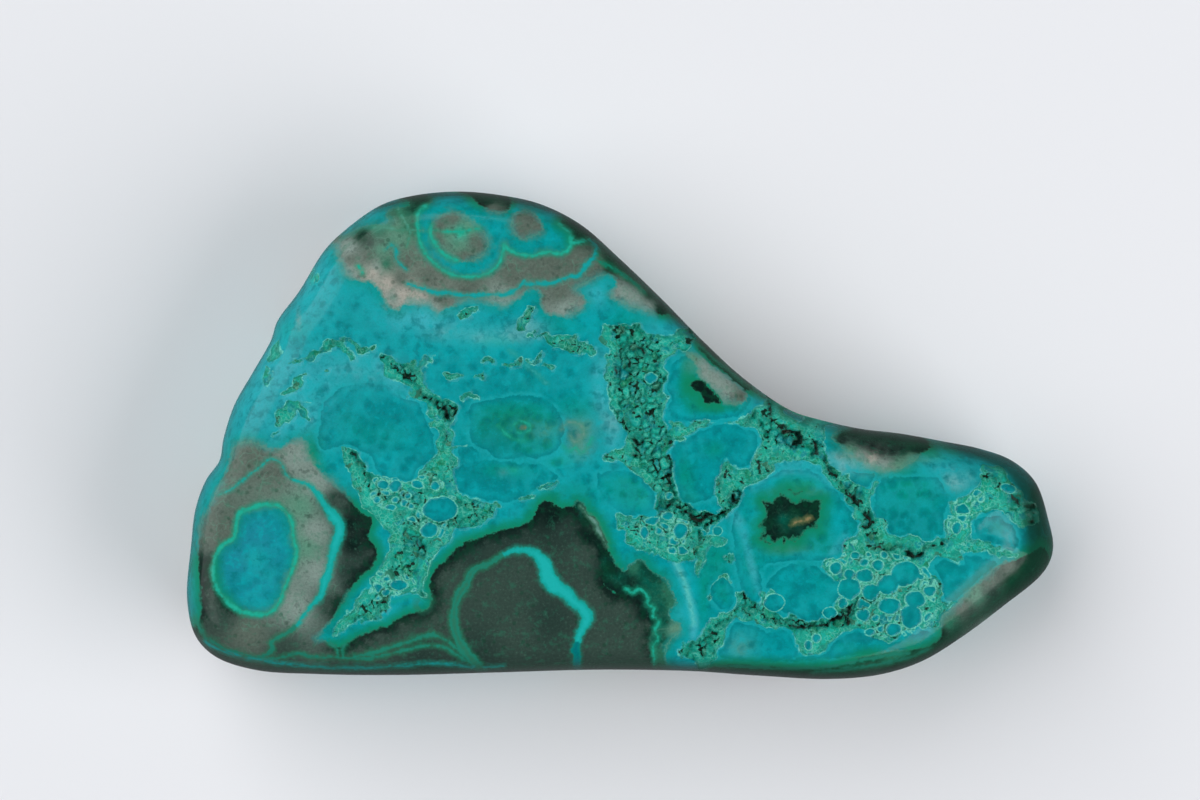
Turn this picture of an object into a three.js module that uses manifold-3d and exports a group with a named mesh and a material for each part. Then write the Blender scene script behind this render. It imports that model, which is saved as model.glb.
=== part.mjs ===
// A polished freeform of chrysocolla and malachite, one solid stone. It lies on its flat back with the
// patterned face up. Millimetres, +Z up, +X towards the narrow tail, +Y towards the top of the hump.
// The origin is the middle of the underside.
import * as THREE from "three";
import Module from "manifold-3d";

// Driving dimensions.
const LENGTH = 108;
const BREADTH = 60.8;
const THICKNESS = 24;
const GIRDLE = 10.5; // mean height of the widest section above the underside
const GIRDLE_SWAY = 2; // how far that height wanders round the stone
const TAIL_DROP = 2.8; // how much lower the face lies at the tip of the tail
const HUMP_DROP = 1.8; // how much lower it lies at the top of the hump
const SHOULDER_POWER = 2.4; // 2 is an ellipse, more is a squarer shoulder
const BACK_ROUNDING = 3.4; // the back's shoulder is this much wider than the face's

// How finely the skin is cut.
const SPOKES = 112;
const FACE_RINGS = [0.9985, 0.994, 0.985, 0.97, 0.95, 0.92, 0.88, 0.82, 0.74, 0.65, 0.54, 0.42, 0.29, 0.15];
const BACK_RINGS = [0.9985, 0.993, 0.98, 0.95, 0.91, 0.85, 0.77, 0.66, 0.5, 0.3];
const SKIN_HEART = { x: 2.4, y: -10.6 }; // every point of the outline can be seen from here

// The outline seen from above, clockwise from the top of the hump: x, y and the width of the rounded shoulder.
const OUTLINE = [
  [-20.1, 30.3, 4], [-14.6, 29.8, 4], [-9.9, 28.7, 3.6], [-5.0, 26.2, 3.4], [-0.1, 21.9, 3.2],
  [5.1, 16.9, 3.2], [10.0, 11.9, 3.2], [15.1, 7.2, 3.2], [21.1, 3.1, 3.4], [24.9, 1.9, 4],
  [29.9, 0.8, 5], [34.9, 0.2, 5.5], [39.9, -0.7, 6], [44.9, -1.7, 7], [48.9, -3.2, 9],
  [51.8, -5.9, 11], [53.3, -10.3, 12], [53.9, -14.1, 11], [52.6, -17.1, 9], [47.4, -21.4, 8],
  [42.4, -25.1, 7], [37.4, -28.1, 5], [32.4, -29.7, 4], [26.1, -30.3, 3.6], [17.4, -29.9, 3.4],
  [8.6, -29.3, 3.4], [-2.6, -29.1, 3.4], [-15.1, -29.4, 3.4], [-27.6, -29.7, 3.6], [-37.6, -29.6, 4],
  [-45.5, -29.1, 5], [-50.5, -27.4, 5.5], [-52.9, -24.8, 5], [-53.9, -20.2, 4.5], [-53.4, -13.7, 4],
  [-52.8, -8.9, 4], [-51.5, -5.4, 4], [-49.9, -3.1, 4], [-49.4, -0.3, 4.5], [-48.1, 3.8, 5],
  [-45.8, 7.9, 5], [-43.6, 11.8, 5], [-42.8, 14.2, 5], [-40.1, 17.9, 5], [-37.0, 22.9, 5],
  [-34.5, 25.4, 5], [-29.9, 28.6, 4.5], [-25.8, 29.8, 4],
];

// The open veins in the face, each a line of x, y, half width and depth.
const VEINS = {
  breccia: [
    [-0.6, 13.6, 1.0, 0.7], [1.4, 11.6, 2.2, 1.2], [2.0, 7.2, 2.9, 1.5], [2.4, 3.0, 2.8, 1.4],
    [3.9, -1.6, 2.2, 1.5], [5.4, -6.0, 1.4, 1.8], [5.7, -9.0, 1.3, 1.8],
  ],
  lowerBreccia: [[8.4, -13.2, 1.2, 1.1], [5.2, -12.6, 2.3, 1.2], [1.6, -12.0, 1.2, 0.8]],
  breastBranch: [[3.6, 11.2, 1.2, 1.0], [6.2, 11.4, 0.9, 0.9], [8.2, 12.1, 0.8, 0.9]],
  breastDashes: [[-12.0, 14.6, 0.5, 0.6], [-11.6, 12.6, 0.8, 0.8], [-8.6, 11.2, 0.8, 0.8], [-5.0, 11.0, 0.7, 0.7]],
  shoulderArc: [[-41.4, 9.2, 0.5, 0.6], [-38.6, 10.6, 0.7, 0.8], [-35.2, 12.0, 0.7, 0.8], [-32.0, 10.4, 0.8, 0.8]],
  heartCrack: [
    [-28.8, 9.0, 0.6, 0.7], [-26.2, 7.4, 1.1, 1.2], [-23.4, 4.4, 1.0, 1.4], [-21.2, 2.4, 1.3, 1.5],
    [-21.9, -1.0, 0.9, 1.2], [-21.6, -4.6, 0.7, 0.9],
  ],
  rootUpper: [[-32.6, -2.8, 0.9, 1.0], [-30.2, -6.0, 1.2, 0.9], [-27.0, -8.4, 1.5, 0.9], [-23.6, -8.0, 1.3, 0.8]],
  rootLower: [
    [-20.4, -10.2, 1.6, 0.9], [-24.4, -11.6, 1.9, 1.1], [-26.0, -14.2, 1.7, 1.6], [-27.2, -17.6, 1.4, 1.2],
    [-30.4, -20.8, 1.1, 1.0], [-33.6, -23.6, 0.8, 0.8],
  ],
  saddleCrack: [[7.4, -9.2, 0.9, 1.5], [9.6, -10.6, 1.0, 1.8], [12.6, -10.6, 1.0, 1.7], [14.4, -8.2, 1.0, 1.6]],
  saddleStem: [[9.8, -12.4, 0.4, 1.0], [9.6, -16.0, 0.4, 0.9]],
  keelPatch: [[8.6, -27.2, 1.5, 1.1], [11.2, -25.2, 1.3, 1.1], [13.0, -23.6, 0.9, 1.3], [15.4, -21.6, 1.1, 1.6]],
  keelCrack: [
    [15.0, -20.0, 0.7, 1.4], [18.8, -22.8, 0.8, 1.1], [22.6, -23.6, 1.0, 1.4], [26.4, -23.8, 0.9, 1.5],
    [28.8, -22.2, 0.9, 1.3], [31.4, -21.2, 0.5, 1.0],
  ],
  keelHollow: [[23.4, -24.8, 0.9, 1.2], [24.0, -26.6, 0.8, 1.0]],
  notchCave: [[17.2, 1.6, 0.7, 0.9], [19.6, 0.4, 0.9, 1.5], [22.0, 0.0, 1.3, 2.6], [24.2, -1.8, 1.0, 1.8]],
  neckCrack: [
    [26.0, -3.8, 0.8, 1.2], [28.4, -6.4, 0.8, 1.2], [30.0, -8.4, 1.1, 1.5], [30.8, -11.0, 0.9, 1.2],
    [31.2, -13.6, 1.0, 1.1], [34.0, -14.2, 0.6, 1.0], [36.8, -14.6, 0.6, 1.1], [40.0, -13.6, 0.5, 0.8],
  ],
  neckBranch: [[13.4, -4.4, 0.8, 0.9], [15.2, -5.0, 1.0, 1.0], [17.6, -3.2, 0.9, 0.9], [18.6, -0.8, 0.8, 0.9]],
  tailRough: [[45.4, -5.2, 0.8, 0.8], [47.4, -7.2, 1.1, 1.0], [49.6, -9.6, 1.1, 1.0]],
  tailLace: [[43.6, -8.6, 0.9, 0.6], [43.2, -11.6, 0.8, 0.6]],
};
const TRENCH_STEP = 1.25; // spacing of the stations along a vein
const TRENCH_ROUGHNESS = 0.3; // how far its corners stray, as a share of its width or depth
// A trench's section, as shares of its half width across and of its depth downwards. The first and last
// points stand above the face, so that the trench is open.
const TRENCH_SECTION = [[-1.15, -1], [-0.8, 0.7], [-0.25, 1], [0.3, 0.8], [0.8, 0.75], [1.15, -1]];

function random(seed) {
  let state = seed;
  return () => {
    state = (state + 0x6d2b79f5) | 0;
    let t = Math.imul(state ^ (state >>> 15), 1 | state);
    t = (t + Math.imul(t ^ (t >>> 7), 61 | t)) ^ t;
    return ((t ^ (t >>> 14)) >>> 0) / 4294967296;
  };
}

// The smooth closed outline as [x, y, shoulder width], fitted to LENGTH by BREADTH about the origin.
function smoothOutline(count) {
  const rows = OUTLINE.map(([x, y, shoulder]) => new THREE.Vector3(x, y, shoulder));
  const points = new THREE.CatmullRomCurve3(rows, true, "centripetal").getSpacedPoints(count).slice(0, count);
  const box = new THREE.Box3().setFromPoints(points);
  const size = box.getSize(new THREE.Vector3());
  const middle = box.getCenter(new THREE.Vector3());
  return points.map((p) => ({
    x: ((p.x - middle.x) * LENGTH) / size.x,
    y: ((p.y - middle.y) * BREADTH) / size.y,
    shoulder: p.z,
  }));
}

const outline = smoothOutline(SPOKES);

// Distance from a point to the outline, and the shoulder's width where it is nearest.
function edgeAt(x, y) {
  let best = { distance: Infinity, shoulder: 1 };
  outline.forEach((a, i) => {
    const b = outline[(i + 1) % outline.length];
    const run = { x: b.x - a.x, y: b.y - a.y };
    const along = ((x - a.x) * run.x + (y - a.y) * run.y) / (run.x * run.x + run.y * run.y);
    const t = THREE.MathUtils.clamp(along, 0, 1);
    const distance = Math.hypot(x - a.x - run.x * t, y - a.y - run.y * t);
    if (distance < best.distance) {
      best = { distance, shoulder: THREE.MathUtils.lerp(a.shoulder, b.shoulder, t) };
    }
  });
  return best;
}

// Share of the full height that the rounded shoulder has reached, from 0 at the girdle to 1 on the flat.
function rise(distance, width) {
  const u = Math.min(distance / width, 1);
  return (1 - (1 - u) ** SHOULDER_POWER) ** (1 / SHOULDER_POWER);
}

function girdleHeight(x, y) {
  return GIRDLE + GIRDLE_SWAY * Math.sin(x / 14 + 0.6) * Math.cos(y / 16 - 0.4);
}

function plateau(x, y) {
  const { smoothstep } = THREE.MathUtils;
  return THICKNESS - TAIL_DROP * smoothstep(x, 0, LENGTH / 2) - HUMP_DROP * smoothstep(y, -10, BREADTH / 2);
}

function faceHeight(x, y) {
  const edge = edgeAt(x, y);
  return THREE.MathUtils.lerp(girdleHeight(x, y), plateau(x, y), rise(edge.distance, edge.shoulder));
}

function backHeight(x, y) {
  const edge = edgeAt(x, y);
  return girdleHeight(x, y) * (1 - rise(edge.distance, edge.shoulder + BACK_ROUNDING));
}

// The unbroken stone: rings of points shrink from the girdle to one point on the face and one on the back.
function stoneGeometry() {
  const positions = [];
  const ring = (share, height) => {
    outline.forEach((p) => {
      const x = THREE.MathUtils.lerp(SKIN_HEART.x, p.x, share);
      const y = THREE.MathUtils.lerp(SKIN_HEART.y, p.y, share);
      positions.push(x, y, height(x, y));
    });
  };
  [...FACE_RINGS].reverse().forEach((share) => ring(share, faceHeight));
  ring(1, girdleHeight);
  BACK_RINGS.forEach((share) => ring(share, backHeight));

  const rings = positions.length / 3 / SPOKES;
  const faceHeart = positions.length / 3;
  const backHeart = faceHeart + 1;
  positions.push(SKIN_HEART.x, SKIN_HEART.y, faceHeight(SKIN_HEART.x, SKIN_HEART.y));
  positions.push(SKIN_HEART.x, SKIN_HEART.y, 0);

  const triangles = [];
  for (let i = 0; i < SPOKES; i += 1) {
    const next = (i + 1) % SPOKES;
    triangles.push(faceHeart, next, i);
    for (let r = 0; r < rings - 1; r += 1) {
      const inner = r * SPOKES;
      const outer = inner + SPOKES;
      triangles.push(inner + i, inner + next, outer + next);
      triangles.push(inner + i, outer + next, outer + i);
    }
    const last = (rings - 1) * SPOKES;
    triangles.push(backHeart, last + i, last + next);
  }
  const geometry = new THREE.BufferGeometry();
  geometry.setAttribute("position", new THREE.Float32BufferAttribute(positions, 3));
  geometry.setIndex(triangles);
  return geometry;
}

// One open vein: a trench with ragged sides and floor that follows the line across the face.
function trenchGeometry(line, chance) {
  const path = new THREE.CatmullRomCurve3(line.map(([x, y]) => new THREE.Vector3(x, y, 0)));
  const section = new THREE.CatmullRomCurve3(line.map(([, , half, depth]) => new THREE.Vector3(half, depth, 0)));
  const stations = Math.max(3, Math.round(path.getLength() / TRENCH_STEP));
  const stray = () => 1 + (chance() * 2 - 1) * TRENCH_ROUGHNESS;

  const positions = [];
  for (let i = 0; i <= stations; i += 1) {
    const { x, y } = path.getPoint(i / stations);
    const along = path.getTangent(i / stations);
    const { x: half, y: depth } = section.getPoint(i / stations);
    TRENCH_SECTION.forEach(([across, down]) => {
      const side = across * half * stray();
      const px = x + along.y * side;
      const py = y - along.x * side;
      positions.push(px, py, faceHeight(px, py) - depth * down * stray());
    });
  }

  const corners = TRENCH_SECTION.length;
  const triangles = [];
  for (let i = 0; i < stations; i += 1) {
    for (let k = 0; k < corners; k += 1) {
      const here = i * corners + k;
      const beside = i * corners + ((k + 1) % corners);
      triangles.push(here, here + corners, beside, beside, here + corners, beside + corners);
    }
  }
  const last = stations * corners;
  for (let k = 1; k < corners - 1; k += 1) {
    triangles.push(0, k, k + 1, last, last + k + 1, last + k);
  }
  const geometry = new THREE.BufferGeometry();
  geometry.setAttribute("position", new THREE.Float32BufferAttribute(positions, 3));
  geometry.setIndex(triangles);
  return geometry;
}

const wasm = await Module();
wasm.setup();

function toSolid(geometry) {
  return new wasm.Manifold(
    new wasm.Mesh({
      numProp: 3,
      vertProperties: new Float32Array(geometry.getAttribute("position").array),
      triVerts: new Uint32Array(geometry.getIndex().array),
    }),
  );
}

function toGeometry(solid) {
  const { numProp, vertProperties, triVerts } = solid.getMesh();
  const count = vertProperties.length / numProp;
  const positions = new Float32Array(count * 3);
  for (let i = 0; i < count; i += 1) {
    positions.set(vertProperties.subarray(i * numProp, i * numProp + 3), i * 3);
  }
  const geometry = new THREE.BufferGeometry();
  geometry.setAttribute("position", new THREE.BufferAttribute(positions, 3));
  geometry.setIndex(new THREE.BufferAttribute(triVerts, 1));
  geometry.computeVertexNormals();
  return geometry;
}

function carvedStone() {
  const chance = random(11);
  let stone = toSolid(stoneGeometry());
  Object.values(VEINS).forEach((line) => {
    stone = stone.subtract(toSolid(trenchGeometry(line, chance)));
  });
  return toGeometry(stone);
}

const polishedStone = new THREE.MeshStandardMaterial({ color: 0x128c8c, roughness: 0.2, metalness: 0 });

const specimen = new THREE.Group();
const stone = new THREE.Mesh(carvedStone(), polishedStone);
stone.name = "stone";
specimen.add(stone);

export default specimen;
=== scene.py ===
"""A polished freeform of chrysocolla and malachite, lying on its flat back and seen from above.

The stone's skin is built as one fine mesh on the solid's own form. Its markings are listed outlines
and lines: each vertex keeps how far it lies inside them, and the material turns those distances into
bands, eyes, veins and grain. Places are millimetres from the stone's middle, as the camera sees the face.
"""
import math

import bpy
import numpy as np
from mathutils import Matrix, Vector
from mathutils.geometry import delaunay_2d_cdt


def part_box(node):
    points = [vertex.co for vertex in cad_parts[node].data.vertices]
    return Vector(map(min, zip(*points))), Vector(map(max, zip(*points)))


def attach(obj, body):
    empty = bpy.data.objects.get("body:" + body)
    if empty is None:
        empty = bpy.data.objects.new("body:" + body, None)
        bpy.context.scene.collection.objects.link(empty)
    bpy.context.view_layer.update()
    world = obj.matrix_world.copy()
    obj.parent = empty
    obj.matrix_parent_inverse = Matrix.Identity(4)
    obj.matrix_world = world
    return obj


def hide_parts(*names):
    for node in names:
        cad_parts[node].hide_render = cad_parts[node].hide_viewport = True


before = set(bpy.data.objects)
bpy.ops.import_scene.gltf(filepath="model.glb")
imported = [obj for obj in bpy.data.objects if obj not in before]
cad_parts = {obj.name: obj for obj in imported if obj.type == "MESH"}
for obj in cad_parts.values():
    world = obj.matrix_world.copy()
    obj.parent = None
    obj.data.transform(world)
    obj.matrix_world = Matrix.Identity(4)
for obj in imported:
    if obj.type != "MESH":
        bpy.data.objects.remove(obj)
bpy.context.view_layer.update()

MM = 0.001

# The stone's form, as the solid has it.
GIRDLE = 10.5
GIRDLE_SWAY = 2.0
TAIL_DROP = 2.8
HUMP_DROP = 1.8
SHOULDER_POWER = 2.4
BACK_ROUNDING = 3.4
OUTLINE = [
    [-20.1, 30.3, 4], [-14.6, 29.8, 4], [-9.9, 28.7, 3.6], [-5, 26.2, 3.4], [-0.1, 21.9, 3.2],
    [5.1, 16.9, 3.2], [10, 11.9, 3.2], [15.1, 7.2, 3.2], [21.1, 3.1, 3.4], [24.9, 1.9, 4], [29.9, 0.8, 5],
    [34.9, 0.2, 5.5], [39.9, -0.7, 6], [44.9, -1.7, 7], [48.9, -3.2, 9], [51.8, -5.9, 11],
    [53.3, -10.3, 12], [53.9, -14.1, 11], [52.6, -17.1, 9], [47.4, -21.4, 8], [42.4, -25.1, 7],
    [37.4, -28.1, 5], [32.4, -29.7, 4], [26.1, -30.3, 3.6], [17.4, -29.9, 3.4], [8.6, -29.3, 3.4],
    [-2.6, -29.1, 3.4], [-15.1, -29.4, 3.4], [-27.6, -29.7, 3.6], [-37.6, -29.6, 4], [-45.5, -29.1, 5],
    [-50.5, -27.4, 5.5], [-52.9, -24.8, 5], [-53.9, -20.2, 4.5], [-53.4, -13.7, 4], [-52.8, -8.9, 4],
    [-51.5, -5.4, 4], [-49.9, -3.1, 4], [-49.4, -0.3, 4.5], [-48.1, 3.8, 5], [-45.8, 7.9, 5],
    [-43.6, 11.8, 5], [-42.8, 14.2, 5], [-40.1, 17.9, 5], [-37, 22.9, 5], [-34.5, 25.4, 5],
    [-29.9, 28.6, 4.5], [-25.8, 29.8, 4],
]

# How finely the skin is cut.
RIM_POINTS = 760
WALL_RINGS = 24
WALL_REACH = 2.2  # how far in from the outline the wall's rings run
BACK_RINGS = 14
FINE_STEP = 0.22
COARSE_STEP = 0.44
BACK_STEP = 1.0
FINE_NEAR = 0.7  # the fine points lie this close to an edge of a marking

# The camera, above the face. 150 mm of stone fill the picture's width.
PICTURE_WIDTH = 150.0
AIM = (-2.6, 4.4)
LENS = 150.0
SENSOR = 36.0
CAMERA_HEIGHT = PICTURE_WIDTH * LENS / SENSOR

# Colours as they show in daylight, red, green and blue from 0 to 255.
BLUE = (0, 147, 154)
TEAL = (0, 129, 135)
DEEP = (0, 108, 114)
SEA = (0, 136, 118)
GREEN = (10, 128, 92)
FERN = (0, 92, 76)
MINT = (40, 182, 154)
PALE_MINT = (112, 210, 184)
CYAN = (24, 162, 168)
# A pale blue tone that also serves as painted sheen.
HAZE_AND_SHEEN = (60, 172, 184)
LAKE = (26, 128, 148)
# A pale mist tone that also serves as painted sheen.
MIST_AND_SHEEN = (118, 182, 186)
OLIVE = (54, 74, 66)
SLATE = (40, 60, 54)
INK = (6, 28, 24)
FOREST = (6, 62, 42)
MOSS = (42, 112, 88)
TAUPE = (92, 106, 96)
ROSE = (130, 150, 142)
CREAM = (172, 168, 158)
LICHEN = (92, 144, 122)
RUST = (200, 116, 36)
AQUA = (8, 166, 174)
FOAM = (26, 172, 168)
JADE = (12, 168, 148)
BARK = (92, 78, 66)

FAR = 4.0  # distances to markings are kept up to this
STRAY = 0.16  # how far the edges of markings wander
CRUMB_SIZE = 0.82
GAP_NARROWING = 0.2
WALL_WANDER = 4.5  # how far the pattern drifts on the unseen walls
WALL_LUMP = 8.0
LEAST_OPEN = 0.12  # the openness and the depth that any vein has
LEAST_DEPTH = 0.5

# How deep rough veins lie below the polish.
CRUMB_DEPTH = 0.12
CRUMB_UNEVENNESS = 0.25
SEAM_DEPTH = 0.55
CREVICE_DEPTH = 0.9


def paint(colour):
    """Scene-linear red, green and blue of a palette colour."""
    share = np.array(colour, float) / 255
    return np.where(share <= 0.04045, share / 12.92, ((share + 0.055) / 1.055) ** 2.4)


# Curves and distances

def smooth_curve(rows, closed, per_row=8):
    """Centripetal Catmull-Rom curve through rows of any width."""
    rows = np.array(rows, float)
    count = len(rows)
    spans = count if closed else count - 1
    t = np.linspace(0, 1, per_row, endpoint=False)[:, None]
    pieces = []
    for i in range(spans):
        if closed:
            p0, p1, p2, p3 = (rows[(i + k) % count] for k in (-1, 0, 1, 2))
        else:
            p1, p2 = rows[i], rows[i + 1]
            p0 = rows[i - 1] if i > 0 else 2 * p1 - p2
            p3 = rows[i + 2] if i + 2 < count else 2 * p2 - p1
        d0, d1, d2 = (max(np.linalg.norm(b - a) ** 0.5, 1e-6) for a, b in ((p0, p1), (p1, p2), (p2, p3)))
        m1 = ((p1 - p0) / d0 - (p2 - p0) / (d0 + d1) + (p2 - p1) / d1) * d1
        m2 = ((p2 - p1) / d1 - (p3 - p1) / (d1 + d2) + (p3 - p2) / d2) * d1
        pieces.append(
            p1 * (2 * t**3 - 3 * t**2 + 1) + m1 * (t**3 - 2 * t**2 + t)
            + p2 * (3 * t**2 - 2 * t**3) + m2 * (t**3 - t**2)
        )
    if not closed:
        pieces.append(rows[-1:])
    return np.concatenate(pieces)


def spaced(curve, count):
    """A closed curve as count points, evenly spaced along it."""
    ring = np.vstack([curve, curve[:1]])
    steps = np.linalg.norm(np.diff(ring, axis=0), axis=1)
    along = np.concatenate([[0], np.cumsum(steps)])
    places = np.linspace(0, along[-1], count, endpoint=False)
    return np.stack([np.interp(places, along, ring[:, k]) for k in range(ring.shape[1])], axis=1)


def stretches(points, rows, closed, reach):
    """For each stretch of a line: which points may lie within reach, their distance and share along it."""
    order = np.argsort(points[:, 1])
    levels = points[order, 1]
    ends = np.roll(rows, -1, axis=0) if closed else rows[1:]
    for a, b in zip(rows, ends):
        first, last = np.searchsorted(levels, [min(a[1], b[1]) - reach, max(a[1], b[1]) + reach])
        chosen = order[first:last]
        run = b[:2] - a[:2]
        gap = points[chosen] - a[:2]
        share = np.clip(gap @ run / max(run @ run, 1e-12), 0, 1)
        gap -= share[:, None] * run
        yield chosen, np.hypot(gap[:, 0], gap[:, 1]), share, a, b


def into_line(points, rows, smooth=True):
    """How far each point lies inside a line of [x, y, half width] rows, negative outside it."""
    rows = smooth_curve(rows, False, 4) if smooth else np.array(rows, float)
    inside = np.full(len(points), -FAR)
    for chosen, distance, share, a, b in stretches(points, rows, False, FAR):
        inside[chosen] = np.maximum(inside[chosen], a[2] + (b[2] - a[2]) * share - distance)
    return inside


def into_area(points, rows, smooth=True):
    """How far each point lies inside a closed outline, negative outside it."""
    rows = smooth_curve(rows, True, 3) if smooth else np.array(rows, float)
    nearest = np.full(len(points), FAR)
    within = np.zeros(len(points), bool)
    for chosen, distance, _, a, b in stretches(points, rows, True, FAR):
        nearest[chosen] = np.minimum(nearest[chosen], distance)
        level = points[chosen, 1]
        crossing = a[0] + (level - a[1]) * (b[0] - a[0]) / (b[1] - a[1] or 1e-9)
        spans = (a[1] > level) != (b[1] > level)
        within[chosen] ^= spans & (points[chosen, 0] < crossing)
    return np.where(within, nearest, -nearest)


def smoothstep(value, low, high):
    """0 at low, 1 at high and smooth between; low may be the larger."""
    share = np.clip((value - low) / (high - low), 0, 1)
    return share * share * (3 - 2 * share)


# Seeded noise

def lattice(cells, seed):
    """A number from 0 to 1 for each whole-numbered cell."""
    mixed = np.zeros(cells.shape[:-1], np.uint64) + np.uint64(seed * 7919 + 17)
    for k, prime in zip(range(cells.shape[-1]), (73856093, 19349663, 83492791)):
        mixed ^= (cells[..., k].astype(np.int64) * prime).astype(np.uint64)
        mixed = (mixed ^ (mixed >> np.uint64(15))) * np.uint64(0x2C1B3C6D)
        mixed &= np.uint64(0xFFFFFFFF)
    mixed = (mixed ^ (mixed >> np.uint64(12))) * np.uint64(0x297A2D39)
    mixed = (mixed ^ (mixed >> np.uint64(15))) & np.uint64(0xFFFFFF)
    return mixed.astype(float) / 0xFFFFFF


def noise(points, size, seed):
    """Smooth noise from -1 to 1 whose lumps are about size across."""
    place = points / size
    cell = np.floor(place)
    share = place - cell
    share = share * share * (3 - 2 * share)
    total = np.zeros(len(points))
    dimensions = points.shape[1]
    for corner in range(2**dimensions):
        step = np.array([(corner >> k) & 1 for k in range(dimensions)])
        weight = np.prod(np.where(step == 1, share, 1 - share), axis=1)
        total += weight * lattice(cell + step, seed)
    return total * 2 - 1


def rough_noise(points, size, seed, octaves=3):
    """Noise with finer lumps laid over coarser ones."""
    total = np.zeros(len(points))
    for k in range(octaves):
        total += noise(points, size / 2**k, seed + k) / 2**k
    return total


# The markings of the face

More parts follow.
